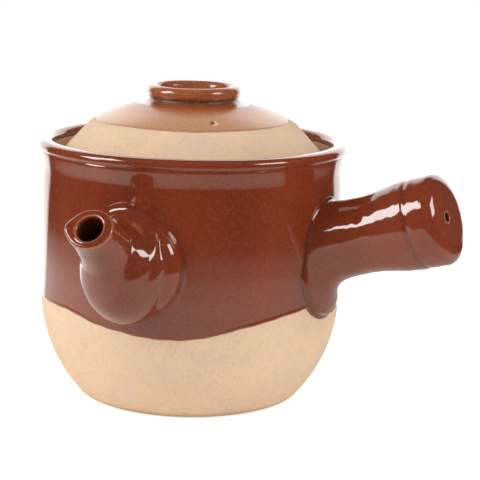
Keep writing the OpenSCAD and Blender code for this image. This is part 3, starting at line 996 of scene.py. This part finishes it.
def build_lid_wash(context):
    """The thin wash on the crown, with an uneven outer edge, chipped back from the steam hole."""
    lid, pot, glaze = (settings(context, name) for name in ("lid", "pot", "glaze"))
    centre, ball = crown_ball(lid)
    bearings = turns(pot.segments)
    wave = np.sin(5 * bearings + 1) + 0.5 * np.sin(11 * bearings) + 0.25 * np.sin(31 * bearings + 2)
    pull = -1.6 * MM * hump(turn_from(bearings, math.radians(29)), 0, 0.5)
    edge = lid.wash_edge + 0.25 * MM * wave + pull
    inner = lid.band_edge - 1.5 * MM
    parts = 1 - (1 - np.linspace(0, 1, 30)) ** 1.6
    reach = inner + (edge - inner) * parts[:, None]
    from_edge = edge - reach
    skin = glaze.wash_thickness * np.clip(from_edge / (0.8 * MM), 0, 1) ** 0.5
    bearing = np.broadcast_to(bearings, reach.shape)

    def shell(height):
        radius = ball + height
        slope = reach / ball
        x = radius * slope
        z = centre + radius * np.sqrt(1 - slope**2) + crown_warp(lid, bearing, reach)
        return np.stack([x * np.cos(bearing), x * np.sin(bearing), z], axis=-1)

    rings = np.concatenate([shell(skin), shell(np.full_like(skin, -0.3 * MM))[::-1]])
    pooled = hump(from_edge, 0.9 * MM, 0.8 * MM)
    tint = 1 - ease(reach, lid.band_edge - 2 * MM, lid.band_fade)
    masks = {"pooled": there_and_back(pooled), "tint": there_and_back(tint)}
    piece = ring_piece("lid_wash_coat", rings, loop=True, masks=masks)
    chip = (1.3 * MM, -0.5 * MM)
    cut(piece, [vent_drill(lid, lid.vent_radius + 0.6 * MM, chip, 0.25, 8)])
    hand_over(piece, "lid", ["lid_wash"], wash_material(context))


def build_knob(context):
    """The ring knob, its hollow and the amber band on the crown round it."""
    lid = settings(context, "lid")
    centre, ball = crown_ball(lid)
    bead_x, bead_z = KNOB_OUTER + 0.1 * MM - lid.bead_radius, KNOB_TOP - lid.bead_half
    hollow_z = KNOB_TOP - lid.hollow
    hollow_x = bead_x - lid.bead_radius
    waist_x, seam_z = KNOB_OUTER - lid.waist, lid.seam_height
    band = lid.band_edge

    def on_crown(x, height=0.0):
        return (x, centre + math.sqrt((ball + height) ** 2 - x**2))

    seam = np.array([(0, 0.5), (-0.2, 0), (0.2, -0.5)]) * MM
    skin = 0.28 * MM
    line = soften_closed(
        join_lines(
            [(0, hollow_z + 0.3 * MM), (hollow_x - 3 * MM, hollow_z + 0.4 * MM)],
            [(hollow_x - 0.4 * MM, bead_z)],
            arc((0, 0), 1, 165, -52, 30) * [lid.bead_radius, lid.bead_half] + [bead_x, bead_z],
            seam + [waist_x, seam_z],
            [(KNOB_OUTER - 0.9 * MM, seam_z - 1 * MM), (KNOB_OUTER + 0.3 * MM, seam_z - 1.7 * MM)],
            [on_crown(x * MM, skin) for x in np.arange(29.5, 32.5, 1.0)],
            [on_crown(band - 0.5 * MM, skin), on_crown(band, 0), on_crown(band, -0.4 * MM)],
            [on_crown(band - 2 * MM, -0.5 * MM), on_crown(20 * MM, -0.6 * MM), on_crown(0, -0.6 * MM)],
        ),
        0.38 * MM,
    )
    rings = lathe(line[keep_shape(line, 0.008 * MM, 2.5 * MM)], lid.knob_segments)
    reach, bearing = from_axis(rings)
    wave = np.sin(4 * bearing + 0.3) + 0.6 * np.sin(7 * bearing) + 0.3 * np.sin(19 * bearing)
    push = 1 + 0.012 * wave * ease(reach, 29.5 * MM, 32.5 * MM)
    sag = np.sqrt(np.maximum(ball**2 - (reach * push) ** 2, 0)) - np.sqrt(np.maximum(ball**2 - reach**2, 0))
    rings[..., 0] *= push
    rings[..., 1] *= push
    rings[..., 2] += sag
    rings[..., 2] += lid.warp * np.sin(2 * bearing + 1.0) * (rings[..., 2] > bead_z)
    crest = hump(rings[..., 2], KNOB_TOP, 1.6 * MM) * hump(reach, bead_x, 4 * MM)
    fading = 0.25 * ease(reach, 29.0 * MM, 33 * MM)
    # The waist under the rim takes the deep amber: gathered glaze, and painted shade under the bead
    groove = hump(rings[..., 2], seam_z, 1.1 * MM)
    groove = groove * ease(reach, 21 * MM, 24 * MM) * ease(reach, 31 * MM, 28 * MM)
    masks = {"thin": np.clip(0.35 * crest + fading, 0, 1), "pooling_and_shade": groove}
    piece = ring_piece("lid_knob_form", rings, masks=masks)
    hand_over(piece, "lid", ["lid_knob", "knob_glaze"], amber_material(context))


# ---------------------------------------------------------------- shader node groups and materials


class Shader:
    """A short way to add and join the nodes of one tree."""

    def __init__(self, tree):
        self.tree = tree

    def add(self, kind, inputs=None, **values):
        """Adds a node, sets its values, and joins or sets its inputs by name or number."""
        made = self.tree.nodes.new(kind)
        for name, value in values.items():
            setattr(made, name, value)
        self.feed(made, inputs or {})
        return made

    def feed(self, node, inputs):
        """Joins or sets a node's inputs by name or number."""
        for key, value in inputs.items():
            socket = node.inputs[key]
            if isinstance(value, bpy.types.NodeSocket):
                self.tree.links.new(value, socket)
            else:
                socket.default_value = value

    def math(self, operation, first, second=0.0, third=0.0, clamp=False):
        """One sum of one to three numbers."""
        made = self.add(
            "ShaderNodeMath", {0: first, 1: second, 2: third}, operation=operation, use_clamp=clamp
        )
        return made.outputs[0]

    def noise(self, place, scale, detail=3.0, roughness=0.5):
        """Fractal noise between 0 and 1."""
        made = self.add(
            "ShaderNodeTexNoise", {"Vector": place, "Scale": scale, "Detail": detail, "Roughness": roughness}
        )
        return made.outputs["Fac"]

    def ramp(self, value, start, end):
        """0 up to start, 1 from end on."""
        made = self.add(
            "ShaderNodeMapRange",
            {"Value": value, "From Min": start, "From Max": end, "To Min": 0.0, "To Max": 1.0},
            interpolation_type="SMOOTHSTEP",
        )
        return made.outputs["Result"]

    def mix(self, share_second, first, second):
        """A blend of two colours."""
        made = self.add("ShaderNodeMix", {"Factor": share_second}, data_type="RGBA")
        for number, value in ((6, first), (7, second)):
            joined = isinstance(value, bpy.types.NodeSocket)
            self.feed(made, {number: value if joined else (*value, 1.0)})
        return made.outputs[2]

    def bump(self, height, distance):
        """A normal from a height, with the distance that a height of 1 stands for."""
        made = self.add("ShaderNodeBump", {"Height": height, "Strength": 1.0, "Distance": distance})
        return made.outputs[0]


def shader_group(name, inputs, outputs, fill):
    """A node group with named inputs and outputs, built once."""
    if name in bpy.data.node_groups:
        return bpy.data.node_groups[name]
    tree = bpy.data.node_groups.new(name, "ShaderNodeTree")
    for kind, sockets in (("INPUT", inputs), ("OUTPUT", outputs)):
        for label, (socket_type, value) in sockets.items():
            made = tree.interface.new_socket(name=label, in_out=kind, socket_type="NodeSocket" + socket_type)
            if value is not None and kind == "INPUT":
                made.default_value = value
    start = tree.nodes.new("NodeGroupInput")
    end = tree.nodes.new("NodeGroupOutput")
    for label, result in fill(Shader(tree), start.outputs).items():
        tree.links.new(result, end.inputs[label])
    return tree


def grain_group():
    """Fine grain and larger cloudy patches, as two masks and a height."""

    def fill(shader, given):
        place = shader.add("ShaderNodeTexCoord").outputs["Object"]
        scale = given["Scale"]
        grain = shader.noise(place, scale, 2.0, 0.6)
        specks = shader.ramp(shader.noise(place, shader.math("MULTIPLY", scale, 0.45), 1.0, 0.5), 0.60, 0.72)
        cloud = shader.noise(place, shader.math("MULTIPLY", scale, 0.02), 4.0, 0.6)
        return {
            "Grain": grain,
            "Specks": shader.math("MULTIPLY", specks, given["Specks"]),
            "Cloud": shader.ramp(cloud, 0.35, 0.68),
        }

    return shader_group(
        "Grain and clouds",
        {"Scale": ("Float", 1500.0), "Specks": ("Float", 1.0)},
        {"Grain": ("Float", None), "Specks": ("Float", None), "Cloud": ("Float", None)},
        fill,
    )


def glaze_group():
    """Colour, roughness and height of a fired glaze that is darker where thick and where shade is painted,
    and warmer where thin.
    """

    def fill(shader, given):
        place = shader.add("ShaderNodeTexCoord").outputs["Object"]
        flow = shader.add("ShaderNodeMapping", {"Vector": place, "Scale": (1.0, 1.0, 0.35)}).outputs[0]
        patches = shader.noise(flow, 28.0, 4.0, 0.55)
        depth = shader.math("MULTIPLY", shader.ramp(patches, 0.35, 0.75), given["Mottle"])
        # The Deep mask mixes towards the deep colour: pooled glaze, and painted shade inside hollows and in
        # the knob's waist
        depth = shader.math("MAXIMUM", depth, given["Deep"])
        base = shader.mix(depth, given["Glaze"], given["Deep glaze"])
        broken = shader.noise(place, 420.0, 3.0, 0.6)
        thin = shader.math("MULTIPLY_ADD", broken, 0.5, given["Thin"])
        thin = shader.math("MULTIPLY", shader.ramp(thin, 0.36, 0.95), shader.ramp(given["Thin"], 0.02, 0.2))
        warm = shader.mix(thin, base, given["Thin glaze"])
        dots = shader.noise(place, 620.0, 3.0, 0.6)
        specks = shader.math("MULTIPLY", shader.ramp(dots, 0.36, 0.82), given["Specks"])
        tone = shader.mix(specks, warm, given["Thin glaze"])
        rough = shader.math("MULTIPLY_ADD", shader.noise(place, 60.0, 3.0, 0.6), 0.06, given["Roughness"])
        rough = shader.math("MULTIPLY_ADD", given["Deep"], given["Deep roughness"], rough)
        peel = shader.noise(place, 330.0, 2.0, 0.5)
        swim = shader.noise(flow, 75.0, 2.0, 0.4)
        height = shader.math("MULTIPLY_ADD", swim, 3.0, peel)
        return {"Colour": tone, "Roughness": rough, "Height": height}

    return shader_group(
        "Fired glaze",
        {
            "Glaze": ("Color", (0.2, 0.03, 0.01, 1.0)),
            "Deep glaze": ("Color", (0.1, 0.015, 0.006, 1.0)),
            "Thin glaze": ("Color", (0.4, 0.12, 0.04, 1.0)),
            "Thin": ("Float", 0.0),
            "Deep": ("Float", 0.0),
            "Mottle": ("Float", 0.3),
            "Specks": ("Float", 0.2),
            "Roughness": ("Float", 0.06),
            "Deep roughness": ("Float", 0.0),
        },
        {"Colour": ("Color", None), "Roughness": ("Float", None), "Height": ("Float", None)},
        fill,
    )


def new_material(name):
    """A material, its helper and its plain shader. The last two are None if it is already made."""
    found = bpy.data.materials.get(name)
    if found:
        return found, None, None
    material = bpy.data.materials.new(name)
    material.use_nodes = True
    material.node_tree.nodes.clear()
    shader = Shader(material.node_tree)
    plain = shader.add("ShaderNodeBsdfPrincipled")
    shader.add("ShaderNodeOutputMaterial", {"Surface": plain.outputs[0]})
    return material, shader, plain


def painted(shader, name):
    """A mask painted on the mesh's points."""
    return shader.add("ShaderNodeAttribute", attribute_name=name, attribute_type="GEOMETRY").outputs["Fac"]


def glaze_like(name, colours, roughness, mottle, specks, bump, coat, dull=0.0):
    """A glossy glaze material from the shared glaze group."""
    material, shader, plain = new_material(name)
    if shader is None:
        return material
    glaze, pooling_and_shade, thin = ((*value, 1.0) for value in colours)
    values = {"Glaze": glaze, "Deep glaze": pooling_and_shade, "Thin glaze": thin, "Mottle": mottle, "Specks": specks}
    values.update({"Roughness": roughness, "Deep roughness": dull})
    values.update({"Thin": painted(shader, "thin"), "Deep": painted(shader, "pooling_and_shade")})
    fired = shader.add("ShaderNodeGroup", values, node_tree=glaze_group()).outputs
    raised = shader.bump(fired["Height"], bump)
    shader.feed(plain, {"Base Color": fired["Colour"], "Roughness": fired["Roughness"], "Normal": raised})
    shader.feed(plain, {"IOR": 1.6, "Coat Weight": coat, "Coat Roughness": 0.03})
    return material


def glaze_material(context):
    """The glossy red-brown glaze."""
    finish = settings(context, "finish")
    colours = (finish.glaze, finish.deep_glaze_and_shade, finish.glaze_thin)
    return glaze_like("red_brown_glaze", colours, finish.gloss, 0.45, 0.18, 0.012 * MM, 0.45)


def liner_material(context):
    """The darker glaze inside the pot."""
    finish = settings(context, "finish")
    colours = (finish.liner, finish.deep_glaze_and_shade, finish.glaze_thin)
    return glaze_like("liner_glaze_dark", colours, 0.14, 0.5, 0.2, 0.02 * MM, 0.2)


def amber_material(context):
    """The thinner amber glaze on the knob."""
    finish = settings(context, "finish")
    colours = (finish.amber, finish.deep_amber_and_shade, finish.amber_thin)
    return glaze_like("amber_knob_glaze", colours, 0.13, 0.35, 0.55, 0.018 * MM, 0.35, dull=0.3)


def clay_material(context):
    """Bare fired clay: matt, fine grained, cloudy and a little smudged, with painted shade along the bottom
    of the base.
    """
    finish = settings(context, "finish")
    material, shader, plain = new_material("bare_fired_clay")
    if shader is None:
        return material
    grain = shader.add("ShaderNodeGroup", {"Scale": 1500.0, "Specks": 0.55}, node_tree=grain_group()).outputs
    place = shader.add("ShaderNodeTexCoord").outputs["Object"]
    pale = tuple(min(1.0, part * 1.12) for part in finish.clay)
    tone = shader.mix(shader.ramp(grain["Grain"], 0.35, 0.7), finish.clay, pale)
    blots = shader.ramp(shader.noise(place, 62.0, 6.0, 0.72), 0.44, 0.66)
    shade = shader.ramp(shader.noise(place, 170.0, 5.0, 0.75), 0.5, 0.66)
    height = shader.add("ShaderNodeSeparateXYZ", {"Vector": place}).outputs["Z"]
    stains_and_foot_shade = (
        (grain["Cloud"], 0.16, finish.clay_dark),
        (blots, 0.55, finish.clay_smudge),
        (shade, 0.22, finish.clay_dark),
        (grain["Specks"], 0.7, finish.clay_dark),
        # Painted shade: the clay darkens to a warm brown towards the bottom of the base
        (shader.ramp(height, 4.5 * MM, 0.4 * MM), 0.55, finish.painted_foot_shade),
    )
    for mask, strength, overlay_colour in stains_and_foot_shade:
        tone = shader.mix(shader.math("MULTIPLY", mask, strength), tone, overlay_colour)
    raised = shader.bump(grain["Grain"], 0.05 * MM)
    shader.feed(plain, {"Base Color": tone, "Normal": raised, "Roughness": 0.88, "IOR": 1.4})
    return material


def wash_material(context):
    """The thin satin wash on the lid."""
    finish = settings(context, "finish")
    material, shader, plain = new_material("thin_lid_wash")
    if shader is None:
        return material
    grain = shader.add("ShaderNodeGroup", {"Scale": 1300.0, "Specks": 0.5}, node_tree=grain_group()).outputs
    tone = shader.mix(shader.math("MULTIPLY", grain["Cloud"], 0.4), finish.wash, finish.wash_edge)
    tone = shader.mix(shader.math("MULTIPLY", grain["Specks"], 0.5), tone, finish.wash_edge)
    tone = shader.mix(painted(shader, "pooled"), tone, finish.wash_edge)
    amber = painted(shader, "tint")
    blotch = shader.math("MULTIPLY_ADD", grain["Grain"], 0.5, -0.25)
    tint = shader.math("ADD", amber, shader.math("MULTIPLY", blotch, amber))
    tone = shader.mix(shader.math("MINIMUM", tint, 1.0), tone, finish.wash_tint)
    rough = shader.math("MULTIPLY_ADD", grain["Grain"], 0.15, 0.20)
    raised = shader.bump(grain["Grain"], 0.02 * MM)
    shader.feed(plain, {"Base Color": tone, "Roughness": rough, "Normal": raised, "IOR": 1.58})
    return material


# ---------------------------------------------------------------- the stage


def aim_camera(camera, stage):
    """Puts the camera where the picture was taken from."""
    spin = Matrix.Rotation(stage.azimuth, 3, "Z")
    back = stage.distance * math.cos(stage.elevation)
    rise = stage.pivot_height + stage.distance * math.sin(stage.elevation)
    position = spin @ Vector((0, -back, rise))
    target = spin @ Vector((stage.aim_side, 0, stage.aim_height))
    forward = (target - position).normalized()
    right = forward.cross(Vector((0, 0, 1))).normalized()
    up = right.cross(forward)
    tilted_right = math.cos(stage.roll) * right + math.sin(stage.roll) * up
    tilted_up = math.cos(stage.roll) * up - math.sin(stage.roll) * right
    facing = Matrix((tilted_right, tilted_up, -forward)).transposed().to_4x4()
    camera.matrix_world = Matrix.Translation(position) @ facing


def softbox(name, stage, bearing, height_angle, distance, width, height, radiance, lean):
    """A soft lamp, placed by its bearing from the camera's side and its height angle, facing the pot."""
    data = bpy.data.lights.new(name, "AREA")
    data.shape = "RECTANGLE"
    data.size, data.size_y = width, height
    data.energy = radiance * width * height * math.pi
    lamp = bpy.data.objects.new(name, data)
    bpy.context.scene.collection.objects.link(lamp)
    side, lift = math.radians(bearing), math.radians(height_angle)
    direction = Vector((math.sin(side) * math.cos(lift), -math.cos(side) * math.cos(lift), math.sin(lift)))
    direction = Matrix.Rotation(stage.azimuth, 3, "Z") @ direction
    centre = Vector((0, 0, stage.pivot_height + 30 * MM))
    lamp.location = centre + direction * distance
    turned = direction.to_track_quat("Z", "Y") @ Quaternion((0, 0, 1), math.radians(lean))
    lamp.rotation_euler = turned.to_euler()
    lamp.visible_camera = False
    return lamp


def seen_rays(shader):
    """1 for rays that show the background: from the camera, or by way of a reflection or glass."""
    path = shader.add("ShaderNodeLightPath")
    seen = shader.math("ADD", path.outputs["Is Camera Ray"], path.outputs["Is Glossy Ray"], clamp=True)
    return shader.math("ADD", seen, path.outputs["Is Transmission Ray"], clamp=True)


def compass(stage, bearing):
    """A level direction by its bearing from the camera's side, in degrees to the viewer's right."""
    side = math.radians(bearing) + stage.azimuth
    return (math.sin(side), -math.cos(side), 0.0)


def toward_bearing(shader, level, stage, bearing):
    """How far a level direction points to a bearing, from -1 to 1."""
    made = shader.add(
        "ShaderNodeVectorMath", {0: level, 1: compass(stage, bearing)}, operation="DOT_PRODUCT"
    )
    return made.outputs["Value"]


def build_floor(stage):
    """A pale floor that looks white. Gloss sees it pale near the pot and behind it, and dark in front, which
    is painted light and shade.
    """
    half = stage.floor_size / 2
    corners = [(-half, -half, 0), (half, -half, 0), (half, half, 0), (-half, half, 0)]
    mesh = bpy.data.meshes.new("studio_floor")
    mesh.from_pydata(corners, [], [(0, 1, 2, 3)])
    floor = bpy.data.objects.new("studio_floor", mesh)
    bpy.context.scene.collection.objects.link(floor)
    material = bpy.data.materials.new("pale_floor")
    material.use_nodes = True
    material.node_tree.nodes.clear()
    shader = Shader(material.node_tree)
    place = shader.add("ShaderNodeTexCoord").outputs["Object"]
    # Painted shade for gloss: the floor darkens from 0.34 to 0.60 m out, except behind the pot
    away = shader.add("ShaderNodeVectorMath", {0: place}, operation="LENGTH").outputs["Value"]
    dark = shader.ramp(away, 0.34, 0.60)
    level = shader.add("ShaderNodeVectorMath", {0: place}, operation="NORMALIZE").outputs[0]
    toward = toward_bearing(shader, level, stage, 180)
    behind = shader.ramp(toward, 0.61, 0.69)
    glossy = shader.add("ShaderNodeLightPath").outputs["Is Glossy Ray"]
    dark = shader.math("MULTIPLY", dark, shader.math("SUBTRACT", 1.0, behind))
    dark = shader.math("MULTIPLY", dark, glossy)
    bounce = shader.math("MULTIPLY", shader.math("MULTIPLY", behind, glossy), stage.backdrop - 0.7)
    # Painted light for gloss: the floor is warm near the pot, for light bounced off the clay, and paler
    # towards the left
    to_left = shader.ramp(toward_bearing(shader, level, stage, -100), 0.1, 0.9)
    gloss_tone = shader.mix(to_left, stage.gloss_near, stage.gloss_left)
    near = shader.mix(glossy, stage.floor_tone, gloss_tone)
    tone = shader.mix(dark, near, stage.gloss_far)
    extra = stage.floor_glow - stage.floor_lift
    glow = shader.math("MULTIPLY_ADD", seen_rays(shader), extra, stage.floor_lift)
    glow = shader.math("MULTIPLY", glow, shader.math("SUBTRACT", 1.0, glossy))
    glow = shader.math("ADD", glow, bounce)
    matt = shader.add("ShaderNodeBsdfDiffuse", {"Color": tone})
    light = shader.add("ShaderNodeEmission", {"Color": (1.0, 1.0, 1.0, 1.0), "Strength": glow})
    both = shader.add("ShaderNodeAddShader", {0: matt.outputs[0], 1: light.outputs[0]})
    shader.add("ShaderNodeOutputMaterial", {"Surface": both.outputs[0]})
    mesh.materials.append(material)


def build_world(stage):
    """White surroundings. Gloss sees them bright behind the pot, and dim overhead and in front."""
    world = bpy.data.worlds.new("studio_world")
    bpy.context.scene.world = world
    world.use_nodes = True
    world.node_tree.nodes.clear()
    shader = Shader(world.node_tree)
    ray = shader.add("ShaderNodeTexCoord").outputs["Generated"]
    height = shader.add("ShaderNodeSeparateXYZ", {"Vector": ray}).outputs["Z"]
    level = shader.add("ShaderNodeVectorMath", {0: ray, 1: (1.0, 1.0, 0.0)}, operation="MULTIPLY").outputs[0]
    level = shader.add("ShaderNodeVectorMath", {0: level}, operation="NORMALIZE").outputs[0]
    toward = toward_bearing(shader, level, stage, 180)
    behind = shader.math("MULTIPLY", shader.ramp(toward, 0.69, 0.76), shader.ramp(height, 0.75, 0.55))
    bright = shader.math("MULTIPLY", behind, stage.backdrop)
    bright = shader.math("MAXIMUM", bright, stage.ceiling)
    path = shader.add("ShaderNodeLightPath")
    clear = shader.math("ADD", path.outputs["Is Camera Ray"], path.outputs["Is Transmission Ray"], clamp=True)
    shown = shader.math("MULTIPLY", path.outputs["Is Glossy Ray"], bright)
    shown = shader.math("MAXIMUM", clear, shown)
    other = shader.math("SUBTRACT", 1.0, seen_rays(shader))
    strength = shader.math("MULTIPLY_ADD", other, stage.fill, shown)
    back = shader.add("ShaderNodeBackground", {"Color": (1.0, 1.0, 1.0, 1.0), "Strength": strength})
    shader.add("ShaderNodeOutputWorld", {"Surface": back.outputs[0]})


# Each lamp's name, bearing, height angle, distance, width, height, radiance and lean, and if gloss shows it
LAMPS = (
    ("left_softbox", -73, 27, 1.1, 0.60, 0.40, 9.5, 53, True),
    ("left_light", -80, 34, 1.6, 1.0, 1.0, 0.3, 0, False),
    ("right_softbox", 62, 29, 1.2, 0.46, 0.38, 8.0, 0, True),
    ("side_fill", 75, 12, 1.6, 1.2, 1.0, 1.0, 0, False),
)


def build_stage(context):
    """Pale floor, white surroundings, soft lamps and the camera."""
    stage = settings(context, "stage")
    scene = context.scene
    scene.view_settings.view_transform = "Standard"
    build_floor(stage)
    build_world(stage)
    for name, *placing, in_gloss in LAMPS:
        softbox(name, stage, *placing).visible_glossy = in_gloss

    camera_data = bpy.data.cameras.new("camera")
    camera_data.lens = stage.lens
    camera_data.sensor_width = 36
    camera = bpy.data.objects.new("camera", camera_data)
    scene.collection.objects.link(camera)
    aim_camera(camera, stage)
    scene.camera = camera


def dress_liner(context):
    """The liner keeps its own solid and gets its glaze."""
    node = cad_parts["liner_glaze"]
    node.data.materials.clear()
    node.data.materials.append(liner_material(context))


# ---------------------------------------------------------------- operators, panel and registering


class HERBALPOT_OT_stage(bpy.types.Operator):
    """Adds the floor, the surroundings, the lamps and the camera."""

    bl_idname = "herbalpot.stage"
    bl_label = "Stage"

    def execute(self, context):
        build_stage(context)
        return {"FINISHED"}


class HERBALPOT_OT_pot_clay(bpy.types.Operator):
    """Adds the thrown pot of bare clay."""

    bl_idname = "herbalpot.pot_clay"
    bl_label = "Pot clay"

    def execute(self, context):
        build_pot_clay(context)
        return {"FINISHED"}


class HERBALPOT_OT_pot_glaze(bpy.types.Operator):
    """Adds the dipped glaze coat on the pot."""

    bl_idname = "herbalpot.pot_glaze"
    bl_label = "Pot glaze"

    def execute(self, context):
        build_pot_glaze(context)
        return {"FINISHED"}


class HERBALPOT_OT_liner(bpy.types.Operator):
    """Gives the liner inside the pot its glaze."""

    bl_idname = "herbalpot.liner"
    bl_label = "Liner glaze"

    def execute(self, context):
        dress_liner(context)
        return {"FINISHED"}


class HERBALPOT_OT_spout(bpy.types.Operator):
    """Adds the spout."""

    bl_idname = "herbalpot.spout"
    bl_label = "Spout"

    def execute(self, context):
        build_spout(context)
        return {"FINISHED"}


class HERBALPOT_OT_handle(bpy.types.Operator):
    """Adds the hollow handle."""

    bl_idname = "herbalpot.handle"
    bl_label = "Handle"

    def execute(self, context):
        build_handle(context)
        return {"FINISHED"}


class HERBALPOT_OT_lid_clay(bpy.types.Operator):
    """Adds the lid of bare clay."""

    bl_idname = "herbalpot.lid_clay"
    bl_label = "Lid clay"

    def execute(self, context):
        build_lid_clay(context)
        return {"FINISHED"}


class HERBALPOT_OT_lid_wash(bpy.types.Operator):
    """Adds the thin wash on the lid's crown."""

    bl_idname = "herbalpot.lid_wash"
    bl_label = "Lid wash"

    def execute(self, context):
        build_lid_wash(context)
        return {"FINISHED"}


class HERBALPOT_OT_knob(bpy.types.Operator):
    """Adds the lid's knob."""

    bl_idname = "herbalpot.knob"
    bl_label = "Knob"

    def execute(self, context):
        build_knob(context)
        return {"FINISHED"}


OPERATORS = (
    HERBALPOT_OT_stage,
    HERBALPOT_OT_pot_clay,
    HERBALPOT_OT_pot_glaze,
    HERBALPOT_OT_liner,
    HERBALPOT_OT_spout,
    HERBALPOT_OT_handle,
    HERBALPOT_OT_lid_clay,
    HERBALPOT_OT_lid_wash,
    HERBALPOT_OT_knob,
)


class HERBALPOT_PT_panel(bpy.types.Panel):
    """Lists the steps and the sizes in the sidebar."""

    bl_idname = "HERBALPOT_PT_panel"
    bl_label = "Herbal medicine pot"
    bl_space_type = "VIEW_3D"
    bl_region_type = "UI"
    bl_category = "Pot"

    def draw(self, context):
        for operator in OPERATORS:
            self.layout.operator(operator.bl_idname)
        for name, group in GROUPS.items():
            box = self.layout.box()
            box.label(text=name.capitalize())
            for prop in group.__annotations__:
                box.prop(settings(context, name), prop)


CLASSES = [*GROUPS.values(), *OPERATORS, HERBALPOT_PT_panel]


def register():
    for item in CLASSES:
        bpy.utils.register_class(item)
    for name, group in GROUPS.items():
        setattr(bpy.types.Scene, "herbal_" + name, PointerProperty(type=group))


def unregister():
    for name in GROUPS:
        delattr(bpy.types.Scene, "herbal_" + name)
    for item in reversed(CLASSES):
        bpy.utils.unregister_class(item)


def main():
    """Registers the add-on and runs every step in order."""
    register()
    steps = bpy.ops.herbalpot
    pot_steps = (steps.pot_clay, steps.pot_glaze, steps.liner, steps.spout, steps.handle)
    lid_steps = (steps.lid_clay, steps.lid_wash, steps.knob)
    for step in (steps.stage, *pot_steps, *lid_steps):
        step()


if __name__ == "__main__":
    main()
